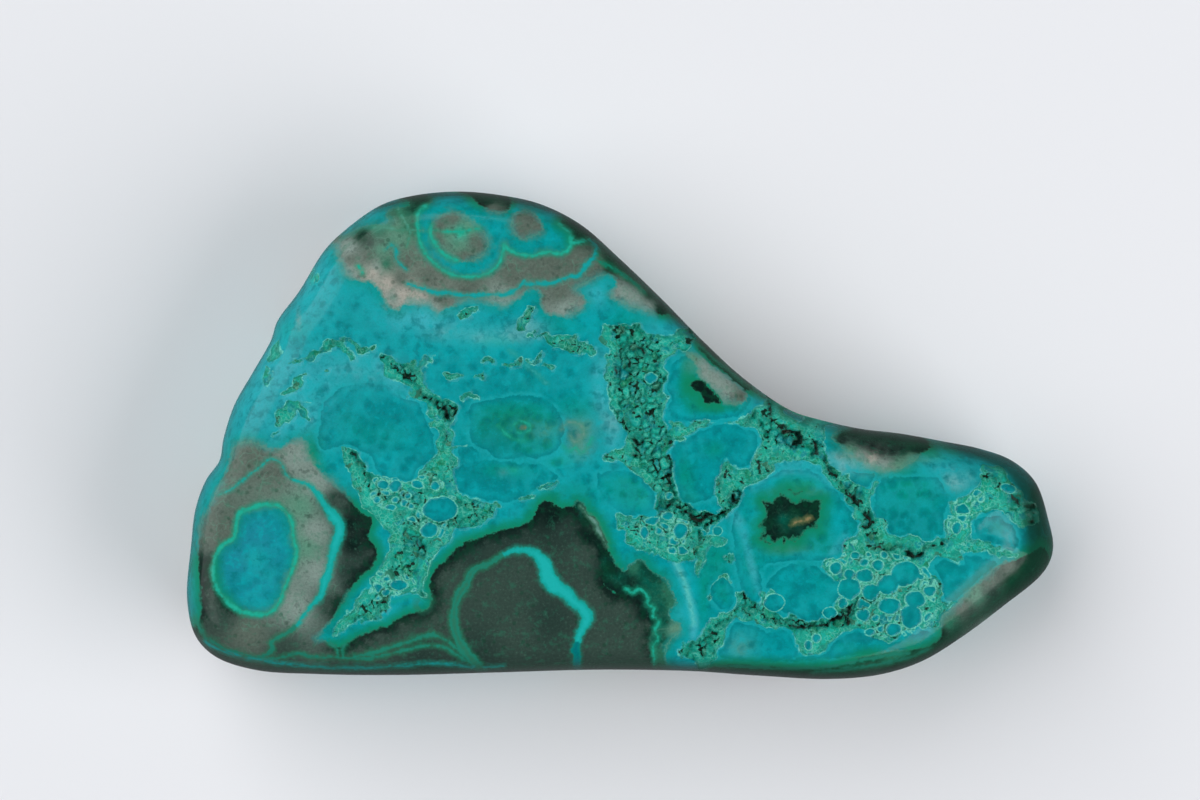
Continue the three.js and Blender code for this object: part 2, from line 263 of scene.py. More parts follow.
# Dark and grey malachite zones. Each has its outline and palette colours at places in it.
ZONES = {
    "lower": {
        "outline": [
            [-48.4, -1.7], [-47.4, -0.9], [-46.2, -0.7], [-45, -1.1], [-43.9, -1.9], [-42.9, -1.8],
            [-42, -1.2], [-40.6, -0.6], [-39.4, -0.9], [-39.2, -2.2], [-38.5, -3.6], [-37.2, -4.9],
            [-35.4, -6.5], [-34.2, -7.5], [-33.3, -8.8], [-32, -9.9], [-31.2, -10.5], [-31.3, -11.5],
            [-31.7, -12.5], [-31.1, -13.2], [-30.6, -14.4], [-30.6, -15.6], [-31.4, -16.7],
            [-32.9, -17.9], [-34, -19.5], [-35, -21.3], [-36.3, -23.3], [-37.4, -24.6], [-38.1, -25.5],
            [-36.6, -25.9], [-35.2, -26.3], [-33.6, -25.7], [-32, -24.9], [-30.4, -24.2], [-29.2, -23.9],
            [-28.2, -23.2], [-27, -22.5], [-25.6, -22.1], [-24.4, -21.8], [-23.7, -21], [-23.6, -19.9],
            [-23.9, -18.6], [-23.3, -17], [-22.2, -15.9], [-21.2, -15], [-20.4, -14], [-18.9, -13.2],
            [-17.6, -12.8], [-16, -12.1], [-14.2, -11.7], [-12.6, -11.3], [-11.5, -10.7], [-10.8, -9.6],
            [-10, -8.6], [-9, -8.2], [-7.6, -8.8], [-6.2, -8.9], [-5.3, -9.1], [-4.7, -10.4], [-4, -11.2],
            [-4.4, -12.2], [-3.6, -12.9], [-2.6, -13.4], [-2.1, -14.6], [-1.5, -15.8], [-1.5, -17.2],
            [-2.1, -18.4], [-1.4, -19.4], [-0.4, -19.8], [0.9, -19.7], [2, -19.4], [3.1, -19.8],
            [3.8, -20.8], [3.6, -21.6], [3.2, -22.3], [4.3, -23], [4.6, -23.9], [4.1, -24.9],
            [4.1, -26.1], [4.5, -27.2], [4.8, -28.4], [4.8, -36], [-62, -36], [-57, -25.4], [-53.4, -24],
            [-52.6, -22.4], [-52.5, -20], [-52.7, -17], [-52.8, -13.6], [-52.4, -11], [-51.8, -9.4],
            [-50.8, -7.6], [-49.8, -5.6], [-49, -3.8],
        ],
        "tints": [
            (-46.5, -3, TAUPE), (-43, -4.5, TAUPE), (-40.8, -3, ROSE), (-38.2, -6, ROSE),
            (-50.5, -12, TAUPE), (-51.8, -17, OLIVE), (-40, -9, LICHEN), (-39.4, -14, LICHEN),
            (-38.2, -12, ROSE), (-38, -17, ROSE), (-40.5, -21.5, ROSE), (-36, -8.4, OLIVE),
            (-33.8, -11, INK), (-33.6, -13.6, INK), (-34.2, -17, SLATE), (-36.5, -21, OLIVE),
            (-50, -22.5, OLIVE), (-46.5, -25, TAUPE), (-42, -26.5, OLIVE), (-34, -27.5, OLIVE),
            (-28, -25, OLIVE), (-23, -23.5, OLIVE), (-25, -27.2, SLATE), (-21.5, -17.5, OLIVE),
            (-18.5, -14.8, SLATE), (-14, -13, SLATE), (-16, -19, OLIVE), (-13, -24, OLIVE),
            (-9, -23, SLATE), (-13, -17, OLIVE), (-8.5, -10, INK), (-7, -12, SLATE), (-4.5, -15, OLIVE),
            (-2.5, -16.5, SLATE), (-3.5, -19.5, OLIVE), (0, -22, OLIVE), (2, -25.5, OLIVE),
            (2.6, -20.6, INK), (-1.5, -26, OLIVE), (-18, -27, SLATE),
        ],
    },
    "fringe": {
        "outline": [
            [-5.6, -8.3], [-4.6, -8.5], [-4, -9.8], [-3, -10.6], [-2.6, -11.6], [-2, -12.6],
            [-1.6, -13.8], [-1.2, -15], [-0.6, -16.2], [0.3, -17.1], [1, -16.3], [1.8, -15.9],
            [2.8, -15.7], [3.4, -16.4], [4, -17.1], [5.2, -17.8], [6, -18.8], [6.5, -20], [6.8, -21],
            [6, -22.2], [6.4, -23], [7.3, -23.8], [7.2, -24.8], [6.2, -25.6], [5.6, -26.6], [5.6, -27.8],
            [5.6, -36], [3, -36], [3, -24], [1, -21], [-3, -18], [-4, -14], [-5.6, -11],
        ],
        "tints": [
            (-5, -8.8, FERN), (-3.8, -10.4, FOREST), (-3, -11.4, OLIVE), (-3.4, -12.6, INK),
            (-2.6, -14.6, INK), (-1.8, -13.6, FOREST), (-1, -15.4, FERN), (-1.6, -16.6, FOREST),
            (0.2, -17.4, FERN), (1.6, -16.6, MOSS), (1.4, -18.4, INK), (2.8, -16.8, FERN),
            (3.4, -18.2, FERN), (2.4, -19.6, INK), (4.6, -19.4, FERN), (5.6, -19.4, MOSS),
            (5, -21.4, FERN), (6.2, -21.2, MOSS), (5.4, -23.4, FERN), (6.7, -24.2, LICHEN),
            (5, -25.6, FERN), (6, -26.4, MOSS), (3.4, -22.8, INK), (5.2, -27.6, MOSS),
        ],
    },
    "top": {
        "outline": [
            [-36.4, 24.6], [-35.9, 24], [-35.4, 23.2], [-35.3, 22.2], [-34.6, 21.6], [-34.4, 20.4],
            [-33.6, 19.6], [-32.6, 19.5], [-31.4, 19.1], [-30.4, 18.6], [-29.9, 17.6], [-29.2, 16.6],
            [-28.6, 15.9], [-27.8, 15.8], [-27, 16.6], [-26, 16.7], [-25, 16.6], [-24, 16.3],
            [-23.2, 15.6], [-22.2, 15.7], [-21.2, 16], [-20.4, 16.6], [-19.4, 16.9], [-18.2, 17.1],
            [-17.2, 17], [-16.2, 16.6], [-15, 16.3], [-13.8, 16.6], [-12.8, 17.2], [-12, 17.9],
            [-11, 18.2], [-10.2, 17.9], [-9.8, 17.1], [-9.9, 16.2], [-9.3, 15.3], [-8.2, 15.2], [-7, 15],
            [-6, 15.3], [-5.2, 15.9], [-4.5, 16.6], [-4.9, 17.4], [-5.6, 18.2], [-4.9, 18.9],
            [-3.8, 19.5], [-2.6, 19.9], [-1.6, 20.1], [-0.7, 19.8], [-0.4, 19], [-1, 18.2], [-1.1, 17.4],
            [-0.4, 16.9], [0.6, 16.6], [1.4, 16.3], [2.6, 15.9], [3.6, 15.4], [4.6, 15.1], [5.6, 15.1],
            [6.6, 15.1], [9.5, 15.4], [12, 22], [-5, 38], [-44, 38], [-39.5, 25.6],
        ],
        "tints": [
            (-34, 23.4, ROSE), (-32.2, 24.6, FOREST), (-31.4, 24, OLIVE), (-33.4, 20.4, ROSE),
            (-30.6, 21, ROSE), (-28.4, 17.2, ROSE), (-27.6, 19.6, TAUPE), (-27, 22, TAUPE),
            (-28, 24.6, LICHEN), (-30.9, 20.4, CREAM), (-29.2, 19, CREAM), (-27.4, 17.6, CREAM),
            (-25.4, 16.9, CREAM), (-33.6, 22, TAUPE), (-31.6, 22.4, TAUPE), (-29.4, 21.4, MOSS),
            (-30.2, 25.6, MOSS), (-30, 23.2, LICHEN), (-26.6, 27, MOSS), (-26, 29, FOREST),
            (-24.2, 19.6, TAUPE), (-22.4, 16.9, TAUPE), (-23.2, 16, ROSE), (-19, 18.6, TAUPE),
            (-15, 17, ROSE), (-13.5, 20, TAUPE), (-9, 20.8, TAUPE), (-5.5, 22, TAUPE),
            (-7.6, 17.6, TAUPE), (-7, 15.9, ROSE), (-6.6, 25.6, FOREST), (-4.6, 25.4, FOREST),
            (-3.4, 21.4, TAUPE), (-1.2, 21.8, FOREST), (0.4, 18, ROSE), (1.4, 19.6, OLIVE),
            (2, 17.2, ROSE), (3.4, 16.2, ROSE), (3.6, 17.6, FOREST), (5.2, 15.9, INK),
            (0.8, 21.2, FOREST),
        ],
    },
    "diagonal": {
        "outline": [
            [9.8, 10.9], [10.4, 10.2], [11.2, 9.3], [12.2, 8.4], [13.2, 7.6], [14.2, 6.7], [15.2, 5.8],
            [16, 5.6], [16.8, 5.8], [18.2, 5.4], [22, 7], [14, 15], [10.4, 12.2],
        ],
        "tints": [(11, 10.4, FOREST), (12.4, 8.6, INK), (14.6, 6.8, INK), (14.4, 8.4, FOREST)],
    },
    "streak": {
        "outline": [
            [8.2, 10.4], [9, 10.2], [10, 9.8], [11, 9], [12, 8.2], [13.2, 7.4], [14.2, 6.6], [15.2, 5.8],
            [15.7, 5.2], [15.6, 4.5], [15, 4.1], [14.2, 4.1], [13.2, 4.2], [12.4, 4.7], [11.8, 5.5],
            [11, 6.3], [10.2, 7], [9.6, 8], [9.2, 9], [8.4, 9.8],
        ],
        "tints": [
            (8.9, 9.8, LICHEN), (10.4, 8.4, ROSE), (12.2, 6.8, ROSE), (14.6, 4.8, TAUPE),
            (13.4, 5.6, ROSE),
        ],
    },
    "second_hole": {
        "outline": [
            [8.6, 6.3], [9, 6.8], [9.8, 7], [10.4, 6.6], [10.7, 6], [11.2, 5.5], [11.9, 4.9], [12.4, 4.4],
            [12.3, 4], [11.6, 4.1], [11, 4], [10.4, 4.2], [10.2, 4.8], [9.6, 5.3], [9, 5.5], [8.7, 5.8],
        ],
        "tints": [(10, 5.8, INK), (11.6, 4.6, INK)],
    },
    "tail_band": {
        "outline": [
            [26.4, 0], [26.8, -0.6], [27.4, -1.2], [28.2, -1.9], [29.2, -2.6], [30.2, -3.2], [31.2, -3.7],
            [32.4, -4.1], [33.6, -4.4], [34.8, -4.3], [35.8, -3.8], [36.8, -3], [37.6, -2.2],
            [38.4, -1.9], [39.4, -1.6], [40.6, -1.5], [41.6, -1.2], [42.6, -0.6], [42, 5], [22, 8],
            [21, 3.2], [24, 1.9], [26, 1.3], [27.6, 0.9],
        ],
        "tints": [
            (25.6, 1, SEA), (26.6, 0.2, MOSS), (27.4, 0.9, FERN), (27.8, -0.4, SLATE), (29, 0.2, INK),
            (30.2, -0.8, INK), (31.4, -1.4, INK), (32.6, -2, INK), (33.9, -2, INK), (35.2, -1.7, INK),
            (36.4, -1.5, FOREST), (31.6, 0, INK), (33.8, -0.6, INK), (37.4, -1.2, FOREST),
            (38.8, -0.6, FOREST), (40.6, -1, FERN), (42.2, -0.4, SEA), (36, 0.6, FERN), (31, 1.4, FERN),
            (24, 2.6, SEA), (28.6, -1.9, LICHEN), (29.9, -2.5, ROSE), (31.4, -3.1, CREAM),
            (33.2, -3.8, ROSE), (34.8, -3.7, LICHEN), (36.2, -2.9, LICHEN), (32.4, -3.6, ROSE),
        ],
    },
    "tail_edge": {
        "outline": [
            [50.4, -15.2], [49.4, -15.5], [48.2, -15.9], [46.8, -16.7], [45.6, -17.6], [44.6, -18.5],
            [43.6, -19.4], [42.6, -20.4], [41.8, -21.3], [40.9, -22], [40.2, -22.7], [39.9, -23.6],
            [40, -24.6], [39.6, -25.6], [38.6, -26.3], [37.2, -26.6], [35.8, -26.8], [34.2, -27],
            [32.5, -27.3], [30.8, -27.6], [29, -28.2], [26.4, -28.9], [23, -29.1], [19, -28.9],
            [15, -28.8], [11, -29.2], [8, -36], [40, -36], [60, -20], [56, -13],
        ],
        "tints": [
            (48.4, -16.4, TAUPE), (46, -18, TAUPE), (44.2, -19.8, LICHEN), (42.6, -21.4, TAUPE),
            (50.6, -16.6, FOREST), (52, -17.2, INK), (49, -18.2, FOREST), (50, -19.6, INK),
            (46.8, -20, SLATE), (46.6, -22, INK), (44, -22.4, OLIVE), (42.4, -24.8, INK),
            (41, -23.4, MOSS), (40.2, -25.2, OLIVE), (38, -26.8, OLIVE), (38.6, -28, FOREST),
            (34, -27.6, MOSS), (34.4, -29, INK), (31, -28.2, OLIVE), (28, -29, FOREST), (24, -29.5, INK),
            (20, -29.4, FOREST), (16, -29.4, INK),
        ],
    },
    "main_eye": {
        "outline": [
            [18, -8.2], [18.7, -8.6], [19.2, -8], [19.9, -7.5], [20.6, -7.8], [21.3, -8.2], [21.9, -8.6],
            [22.5, -8.1], [23.2, -8.2], [23.8, -8.4], [24.5, -8.2], [24.9, -8.6], [24.9, -9.5],
            [24.9, -10.2], [24.3, -10.9], [24.6, -11.5], [23.8, -11.3], [23.2, -11.8], [22.8, -12.4],
            [22.3, -12.9], [21.6, -12.7], [21.1, -13.1], [20.5, -12.8], [19.9, -12.9], [19.1, -13.4],
            [18.7, -12.8], [18, -12.4], [17.5, -12.5], [18, -11.8], [17.4, -11.4], [18, -10.8],
            [18.3, -10], [18.3, -9],
        ],
        "tints": [
            (19.4, -9.6, INK), (20.5, -9.2, INK), (23.1, -9.5, INK), (19.5, -11.6, INK),
            (18.9, -12.9, INK), (21.8, -9.2, FOREST), (24.4, -9, FOREST), (18.4, -10.6, FOREST),
            (21.2, -11.2, FOREST), (20.3, -10.5, FERN), (22.5, -12, FERN), (22, -10.4, FOREST),
            (24.2, -10.6, FOREST), (19, -8.4, FOREST), (20.4, -12.8, FOREST), (20.5, -11.9, FERN),
            (23, -8.5, FOREST),
        ],
    },
}

# Dark rays at the main eye's border: rows of x, y and half width.
RAYS = [
    [[20, -8, 0.3], [19.9, -7.2, 0.02]],
    [[20.9, -6.7, 0], [21.8, -7.4, 0.1], [22.8, -7, 0]],
    [[24.4, -8.5, 0.3], [25.1, -8.2, 0.02]],
    [[18.3, -9, 0.3], [17.7, -8.3, 0.02]],
    [[18.2, -11.2, 0.3], [17.3, -11.5, 0.02]],
    [[18.2, -12.4, 0.3], [17.3, -12.9, 0.1], [18.8, -13.6, 0]],
    [[20.4, -12.6, 0.3], [20.3, -13.8, 0.02]],
    [[20.9, -12.6, 0.2], [21.9, -13.3, 0.02]],
    [[23.6, -11.3, 0.3], [24.3, -11.6, 0.02]],
]

# Blue windows that lie inside the zones.
WINDOWS = {
    "left_eye": [
        [-45, -8.8], [-43, -8.9], [-41.7, -9.9], [-41.1, -11.4], [-41, -13], [-40.6, -14.4], [-41, -16.4],
        [-41.9, -18.6], [-42.8, -20.8], [-43.7, -21.9], [-45.4, -22.3], [-47.7, -21.8], [-49.7, -20.1],
        [-50.7, -18.2], [-50.7, -15.6], [-49.8, -14], [-48.3, -12.9], [-48, -11.2], [-47.5, -9.8],
        [-46.4, -9.2],
    ],
    "top_eyes": [
        [-25.2, 28], [-25.4, 26.8], [-25.3, 25], [-24.7, 23.2], [-23.8, 22], [-22.6, 21], [-21.4, 20.2],
        [-20.2, 19.9], [-19, 19.8], [-17.8, 19.9], [-16.8, 20.2], [-15.9, 20.7], [-15.3, 21.4],
        [-14.9, 22.2], [-14.7, 23], [-14.6, 23.8], [-14.2, 23.4], [-13.4, 22.9], [-12.4, 22.6],
        [-11.2, 22.5], [-10.2, 22.7], [-9.2, 22.9], [-8.2, 22.8], [-7.2, 22.8], [-6.5, 23.3], [-6.2, 24],
        [-6.2, 24.8], [-6.6, 25.5], [-7.3, 26], [-7.8, 26.5], [-6.4, 27.4], [-4.6, 27.6], [-6, 36],
        [-26, 36], [-23.6, 30.4], [-23.6, 29.2], [-24.6, 28.6],
    ],
    "shoulder": [
        [-37.4, 25.2], [-35, 25], [-33.6, 25.6], [-32, 26.1], [-30.6, 26.3], [-29.4, 26.3], [-28.9, 26.9],
        [-29.3, 27.6], [-28.6, 28.3], [-27.2, 28.4], [-26.4, 28.9], [-28, 32], [-39, 30],
    ],
    "lower_pool": [[-24.8, -21.9], [-25.4, -20.9], [-23.9, -20.5], [-23.9, -21.4]],
}

# Grey discs inside the windows.
DISCS = {
    "first": {
        "outline": [
            [-23.6, 26.2], [-23.1, 27], [-22.2, 27.6], [-21, 27.9], [-19.8, 27.6], [-18.6, 26.8],
            [-17.5, 25.7], [-16.8, 24.7], [-16.6, 23.8], [-17, 22.9], [-17.8, 22.2], [-19, 21.8],
            [-20.4, 21.9], [-21.6, 22.3], [-22.7, 23.1], [-23.4, 24.2], [-23.8, 25.2],
        ],
        "tints": [
            (-22.6, 26.2, TAUPE), (-22.8, 24.4, TAUPE), (-20, 25.2, MINT), (-20, 23.8, LICHEN),
            (-18.4, 24.4, TAUPE), (-19.6, 22.6, TAUPE), (-21.4, 25, LICHEN), (-21, 27, TAUPE),
            (-18.8, 26, LICHEN), (-17.4, 24, TAUPE),
        ],
    },
    "second": {
        "outline": [
            [-13.7, 26.6], [-13.4, 27.4], [-12.6, 28], [-11.6, 28.1], [-10.8, 27.6], [-10.3, 27],
            [-9.8, 26.2], [-9.9, 25.5], [-10.5, 25.1], [-11.2, 24.9], [-12.2, 24.6], [-13, 25],
            [-13.5, 25.7],
        ],
        "tints": [(-12, 27, TAUPE), (-12.2, 25.8, TAUPE), (-10.4, 25.9, TAUPE)],
    },
    "crown": {
        "outline": [
            [-18.4, 29.6], [-17.5, 28.7], [-16.6, 28.1], [-15.6, 27.8], [-14.6, 27.9], [-13.9, 28.3],
            [-13.6, 29], [-13.7, 29.8], [-14, 34], [-20, 34],
        ],
        "tints": [(-16, 28.4, TAUPE), (-16.4, 29.4, FOREST), (-15.4, 30.4, FOREST)],
    },
}

# Thin bands and outlines: a colour and rows of x, y and half width.
LINES = {
    "left_ring": (FOAM, [
        [-50.2, -7.4, 0], [-48.4, -6.5, 0.02], [-46.5, -5, 0.04], [-44.9, -3.8, 0.04], [-44, -3.1, 0.05],
        [-42.8, -3.2, 0.05], [-42.2, -4.1, 0.05], [-41.6, -5.2, 0.06], [-40, -5.9, 0.1],
        [-38.8, -6.4, 0.16], [-37.8, -7.5, 0.32], [-36.8, -9, 0.42], [-35.9, -10.2, 0.6],
        [-35.3, -11.2, 0.62], [-35.2, -12.2, 0.62], [-35.6, -13.4, 0.6], [-35.9, -14.6, 0.5],
        [-36.3, -16.2, 0.46], [-36.9, -17.8, 0.44], [-37.3, -19.3, 0.4], [-37.8, -20.4, 0.3],
        [-38.7, -21.4, 0.22], [-39.7, -22.6, 0.2], [-40.6, -23.8, 0.18],
    ]),
    "left_ring_foot": (MOSS, [
        [-40.6, -23.8, 0.18], [-41.7, -24.8, 0.2], [-43.2, -25.5, 0.2], [-43.8, -26, 0.22],
        [-43.6, -26.8, 0.2], [-44.3, -27.5, 0.18], [-45.6, -27.8, 0.14],
    ]),
    "arc": (FOAM, [
        [-14.6, -14.9, 0.22], [-13.5, -14.4, 0.34], [-12.4, -14.3, 0.4], [-11.2, -14.6, 0.46],
        [-10.3, -15.1, 0.64], [-9.6, -16.2, 0.84], [-9.2, -17.4, 1], [-8.6, -18.5, 1.1],
        [-7.6, -19.3, 0.8], [-6.5, -20.1, 0.72], [-5.6, -21, 0.66], [-4.7, -21.9, 0.7],
        [-4.1, -22.7, 0.78], [-4.6, -23.8, 0.6], [-5.2, -25, 0.5], [-5.5, -26, 0.4],
    ]),
    "arc_foot": (DEEP, [[-5.4, -25.6, 0.4], [-5.6, -26.8, 0.5], [-5.5, -27.8, 0.5], [-5.5, -30, 0.5]]),
    "arc_tail": (MOSS, [
        [-17.2, -29.4, 0.5], [-18.6, -28, 0.5], [-19.7, -26.6, 0.5], [-20.4, -25.2, 0.5],
        [-20.8, -23.8, 0.5], [-20.9, -22.6, 0.42], [-20.7, -21.4, 0.4], [-20.3, -20.2, 0.45],
        [-19.7, -19.2, 0.5], [-19.1, -18.3, 0.4], [-18.8, -17.4, 0.35], [-18.2, -16.7, 0.3],
        [-17.2, -16.4, 0.28], [-16.2, -16, 0.26], [-15.4, -15.4, 0.26], [-14.6, -14.9, 0.2],
    ]),
    "root_edge": (FOAM, [
        [-35.2, -24.6, 0], [-33.4, -23.4, 0.04], [-31.6, -22.2, 0.05], [-29.6, -21.2, 0.05],
        [-27.6, -20.6, 0.05], [-26, -20.1, 0.05], [-24.8, -20.6, 0.03], [-24.2, -21, 0],
    ]),
    "lens_top": (MOSS, [
        [-33.2, -27.6, 0.1], [-31, -27.2, 0.12], [-29, -26.6, 0.12], [-27, -26, 0.14],
        [-25.2, -25.3, 0.14], [-23.6, -24.9, 0.14], [-22.2, -25.5, 0.12], [-20.8, -26.4, 0.12],
        [-19.4, -27.6, 0.12], [-18, -28.6, 0.12],
    ]),
    "lens_middle": (MOSS, [
        [-33, -28, 0.1], [-29, -27.4, 0.08], [-25, -26.4, 0.08], [-22.4, -26.4, 0.08], [-19.6, -28, 0.1],
    ]),
    "lens_foot": (CYAN, [
        [-52, -25.8, 0.1], [-50.4, -26.7, 0.1], [-48.4, -27.5, 0.1], [-45, -28.1, 0.1], [-40, -28.8, 0.1],
        [-34, -29.2, 0.1], [-30, -29, 0.1], [-26, -28.7, 0.12], [-24, -28.5, 0.12], [-22, -28.6, 0.12],
        [-19, -29, 0.1], [-14.6, -28.9, 0.08],
    ]),
    "corner_upper": (MOSS, [
        [-53.2, -23, 0.2], [-52.2, -24.8, 0.14], [-50.8, -26, 0.12], [-48.6, -27, 0.12],
        [-46.2, -27.6, 0.1], [-43, -27.9, 0.1], [-40.4, -27.3, 0.1], [-38.6, -27.7, 0.1],
        [-34.8, -27.8, 0.12], [-31, -27.9, 0.1],
    ]),
    "keyhole_left": (MOSS, [[-36.4, -26, 0.1], [-35.6, -26.5, 0.1], [-35.3, -27.6, 0.1]]),
    "keyhole_right": (MOSS, [[-34.4, -26.1, 0.1], [-34.9, -26.6, 0.1], [-34.6, -27.6, 0.1]]),
    "top_line": (CYAN, [
        [-26.6, 18.9, 0.12], [-25, 18.4, 0.16], [-23.6, 18, 0.18], [-22, 17.8, 0.2], [-20.4, 17.6, 0.2],
        [-18.6, 17.5, 0.2], [-17, 17.6, 0.2], [-15.6, 17.5, 0.2], [-14.4, 17.6, 0.2], [-13.4, 18, 0.2],
        [-12.6, 18.6, 0.18], [-12.1, 19.2, 0.12],
    ]),
    "top_line_on": (CYAN, [
        [-12.2, 19, 0.14], [-11.4, 18.8, 0.2], [-10.8, 18.9, 0.22], [-9.6, 18.9, 0.22],
        [-8.4, 19.1, 0.22], [-7.2, 19.5, 0.22], [-6.4, 19.8, 0.22], [-5.4, 19.9, 0.22],
        [-4.9, 20.3, 0.22], [-4.5, 21, 0.22], [-4, 21.6, 0.22], [-3.4, 22.2, 0.22], [-3.1, 22.9, 0.22],
        [-3, 23.6, 0.2], [-3.6, 24.5, 0.16],
    ]),
    "top_branch": (GREEN, [
        [-3, 23, 0.16], [-2.8, 22.2, 0.14], [-2.3, 21.6, 0.14], [-1.4, 21.1, 0.14], [-0.6, 20.7, 0.14],
        [0.4, 20, 0.12], [1.6, 19.2, 0.12], [3, 17.9, 0.12],
    ]),
    "top_outline": (MINT, [
        [-24.3, 28.7, 0.1], [-25.2, 28, 0.12], [-25.4, 26.8, 0.12], [-25.3, 25, 0.12],
        [-24.7, 23.2, 0.12], [-23.8, 22, 0.12], [-22.6, 21, 0.12], [-21.4, 20.2, 0.12],
        [-20.2, 19.9, 0.12], [-19, 19.8, 0.12], [-17.8, 19.9, 0.12], [-16.8, 20.2, 0.12],
        [-15.9, 20.7, 0.14], [-15.3, 21.4, 0.14], [-14.9, 22.2, 0.14], [-14.7, 23, 0.12],
        [-14.6, 23.8, 0.12],
    ]),
    "top_outline_on": (MINT, [
        [-14.6, 23.8, 0.12], [-14.2, 23.4, 0.12], [-13.4, 22.9, 0.12], [-12.4, 22.6, 0.12],
        [-11.2, 22.5, 0.12], [-10.2, 22.7, 0.12], [-9.2, 22.9, 0.12], [-8.2, 22.8, 0.12],
        [-7.2, 22.8, 0.14], [-6.5, 23.3, 0.14], [-6.2, 24, 0.14], [-6.2, 24.8, 0.14], [-6.6, 25.5, 0.14],
        [-7.3, 26, 0.14], [-7.7, 26.5, 0.1],
    ]),
    "top_outline_branch": (MINT, [
        [-6.2, 24.1, 0.12], [-5.2, 24.1, 0.1], [-4.4, 24.4, 0.1], [-3.4, 24.6, 0.1], [-2.2, 24.1, 0.1],
        [-0.4, 22.6, 0.1], [2, 20.4, 0.1], [4.4, 18, 0.1], [6.4, 15.8, 0.1],
    ]),
    "disc_rim": (MINT, [
        [-23.6, 26.2, 0.1], [-23.8, 25.2, 0.12], [-23.4, 24.2, 0.12], [-22.7, 23.1, 0.14],
        [-21.6, 22.3, 0.14], [-20.4, 21.9, 0.14],
    ]),
    "crackle_one": (LICHEN, [[-31, 26, 0.04], [-27.6, 25.7, 0.05], [-24.6, 25.5, 0.05]]),
    "crackle_two": (LICHEN, [
        [-27.8, 28.4, 0.04], [-27, 26.8, 0.05], [-26.4, 25.2, 0.05], [-26.8, 23.6, 0.04],
    ]),
    "crackle_three": (MINT, [[-23.6, 25.6, 0.05], [-21, 25.4, 0.05], [-17.6, 25.8, 0.04]]),
    "crown_patch": (CYAN, [
        [-29.4, 23.2, 0.02], [-28.6, 23.8, 0.1], [-28, 23.1, 0.08], [-28.1, 22.2, 0.06],
        [-27.4, 21.4, 0.06], [-26.8, 20.6, 0.02],
    ]),
    "knot": (MINT, [
        [-13.6, 0.8, 0.02], [-13.2, 1.4, 0.04], [-12.4, 1.7, 0.05], [-11.5, 1.4, 0.05],
        [-11.3, 0.7, 0.05], [-12, 0.2, 0.05], [-12.8, 0.4, 0.03],
    ]),
    "knot_side": (MINT, [[-15.2, 1.2, 0], [-14.4, 0.3, 0.03], [-13.4, -0.4, 0.03], [-12, -0.7, 0]]),
    "knot_eye": (RUST, [[-12.3, 0.9, -0.04], [-11.9, 0.9, -0.04]]),
    "swirl": (ROSE, [
        [-7.4, 0.8, 0], [-6.6, 1.6, 0.04], [-5.4, 1.5, 0.05], [-4.7, 0.6, 0.05], [-5, -0.4, 0.05],
        [-5.9, -0.7, 0.04], [-6.4, 0, 0.02],
    ]),
    "swirl_low": (MINT, [
        [-7.2, -1.4, 0], [-6.4, -2, 0.03], [-5.6, -1.6, 0.04], [-5, -2.2, 0.04], [-4.2, -1.6, 0.03],
        [-3.6, -0.4, 0],
    ]),
    "fringe_line": (ROSE, [
        [-4.9, -9, 0], [-4.1, -10, 0.05], [-3.2, -10.9, 0.08], [-2.8, -11.9, 0.08], [-2.2, -12.9, 0.06],
        [-1.7, -14, 0],
    ]),
    "scallops": (MINT, [
        [0.6, -19.2, 0.05], [1.5, -19.7, 0.08], [2.4, -19.3, 0.08], [3.2, -20.2, 0.08],
        [3.4, -21.2, 0.08], [4.2, -21.6, 0.08], [4, -22.6, 0.08], [4.7, -23.3, 0.08], [4.3, -24.4, 0.08],
        [4.6, -25.4, 0.08], [4.1, -26.4, 0.08], [4.2, -28.6, 0.06],
    ]),
    "rose_dash": (MINT, [[-32.9, 21.2, 0.1], [-32.5, 20.7, 0.14], [-32.2, 20.3, 0.12]]),
    "diagonal_line": (GREEN, [
        [9.9, 11.4, 0.1], [11.6, 9.6, 0.1], [13.4, 8.2, 0.12], [15.4, 6.6, 0.1], [17, 5.7, 0.1],
    ]),
    "left_eye_rim": (MINT, [
        [-45, -8.7, 0.14], [-43, -8.8, 0.12], [-41.6, -9.8, 0.12], [-41, -11.4, 0.12], [-40.9, -13, 0.12],
        [-40.5, -14.4, 0.14], [-40.9, -16.4, 0.12], [-41.8, -18.6, 0.12], [-42.7, -20.8, 0.12],
        [-43.6, -22, 0.12], [-45.4, -22.4, 0.16], [-47.8, -21.9, 0.2], [-49.8, -20.2, 0.18],
        [-50.8, -18.2, 0.16], [-50.8, -15.6, 0.16], [-49.9, -13.9, 0.16], [-48.4, -12.8, 0.18],
        [-48.1, -11.2, 0.2], [-47.6, -9.7, 0.18], [-46.4, -9.1, 0.18], [-45, -8.7, 0.16],
    ]),
    "fleck": (RUST, [
        [21.4, -11.2, -0.1], [22, -10.8, 0.12], [22.8, -10.7, 0.02], [23.5, -10.4, 0.14],
        [24, -10.4, -0.1],
    ]),
    "scratch": (HAZE_AND_SHEEN, [[-14, 10.7, 0.06], [-12.6, 9.4, 0.09], [-10.6, 7.8, 0.07], [-9.3, 6.6, 0.09]]),
    "bottom_stripe_one": (MOSS, [
        [12, -28.9, 0.14], [20, -29.1, 0.14], [26, -28.9, 0.16], [31, -27.9, 0.16], [36, -27.2, 0.14],
    ]),
    "bottom_stripe_two": (MOSS, [
        [24, -29.8, 0.12], [30, -29, 0.16], [35, -28.1, 0.14], [39, -26.6, 0.12],
    ]),
}
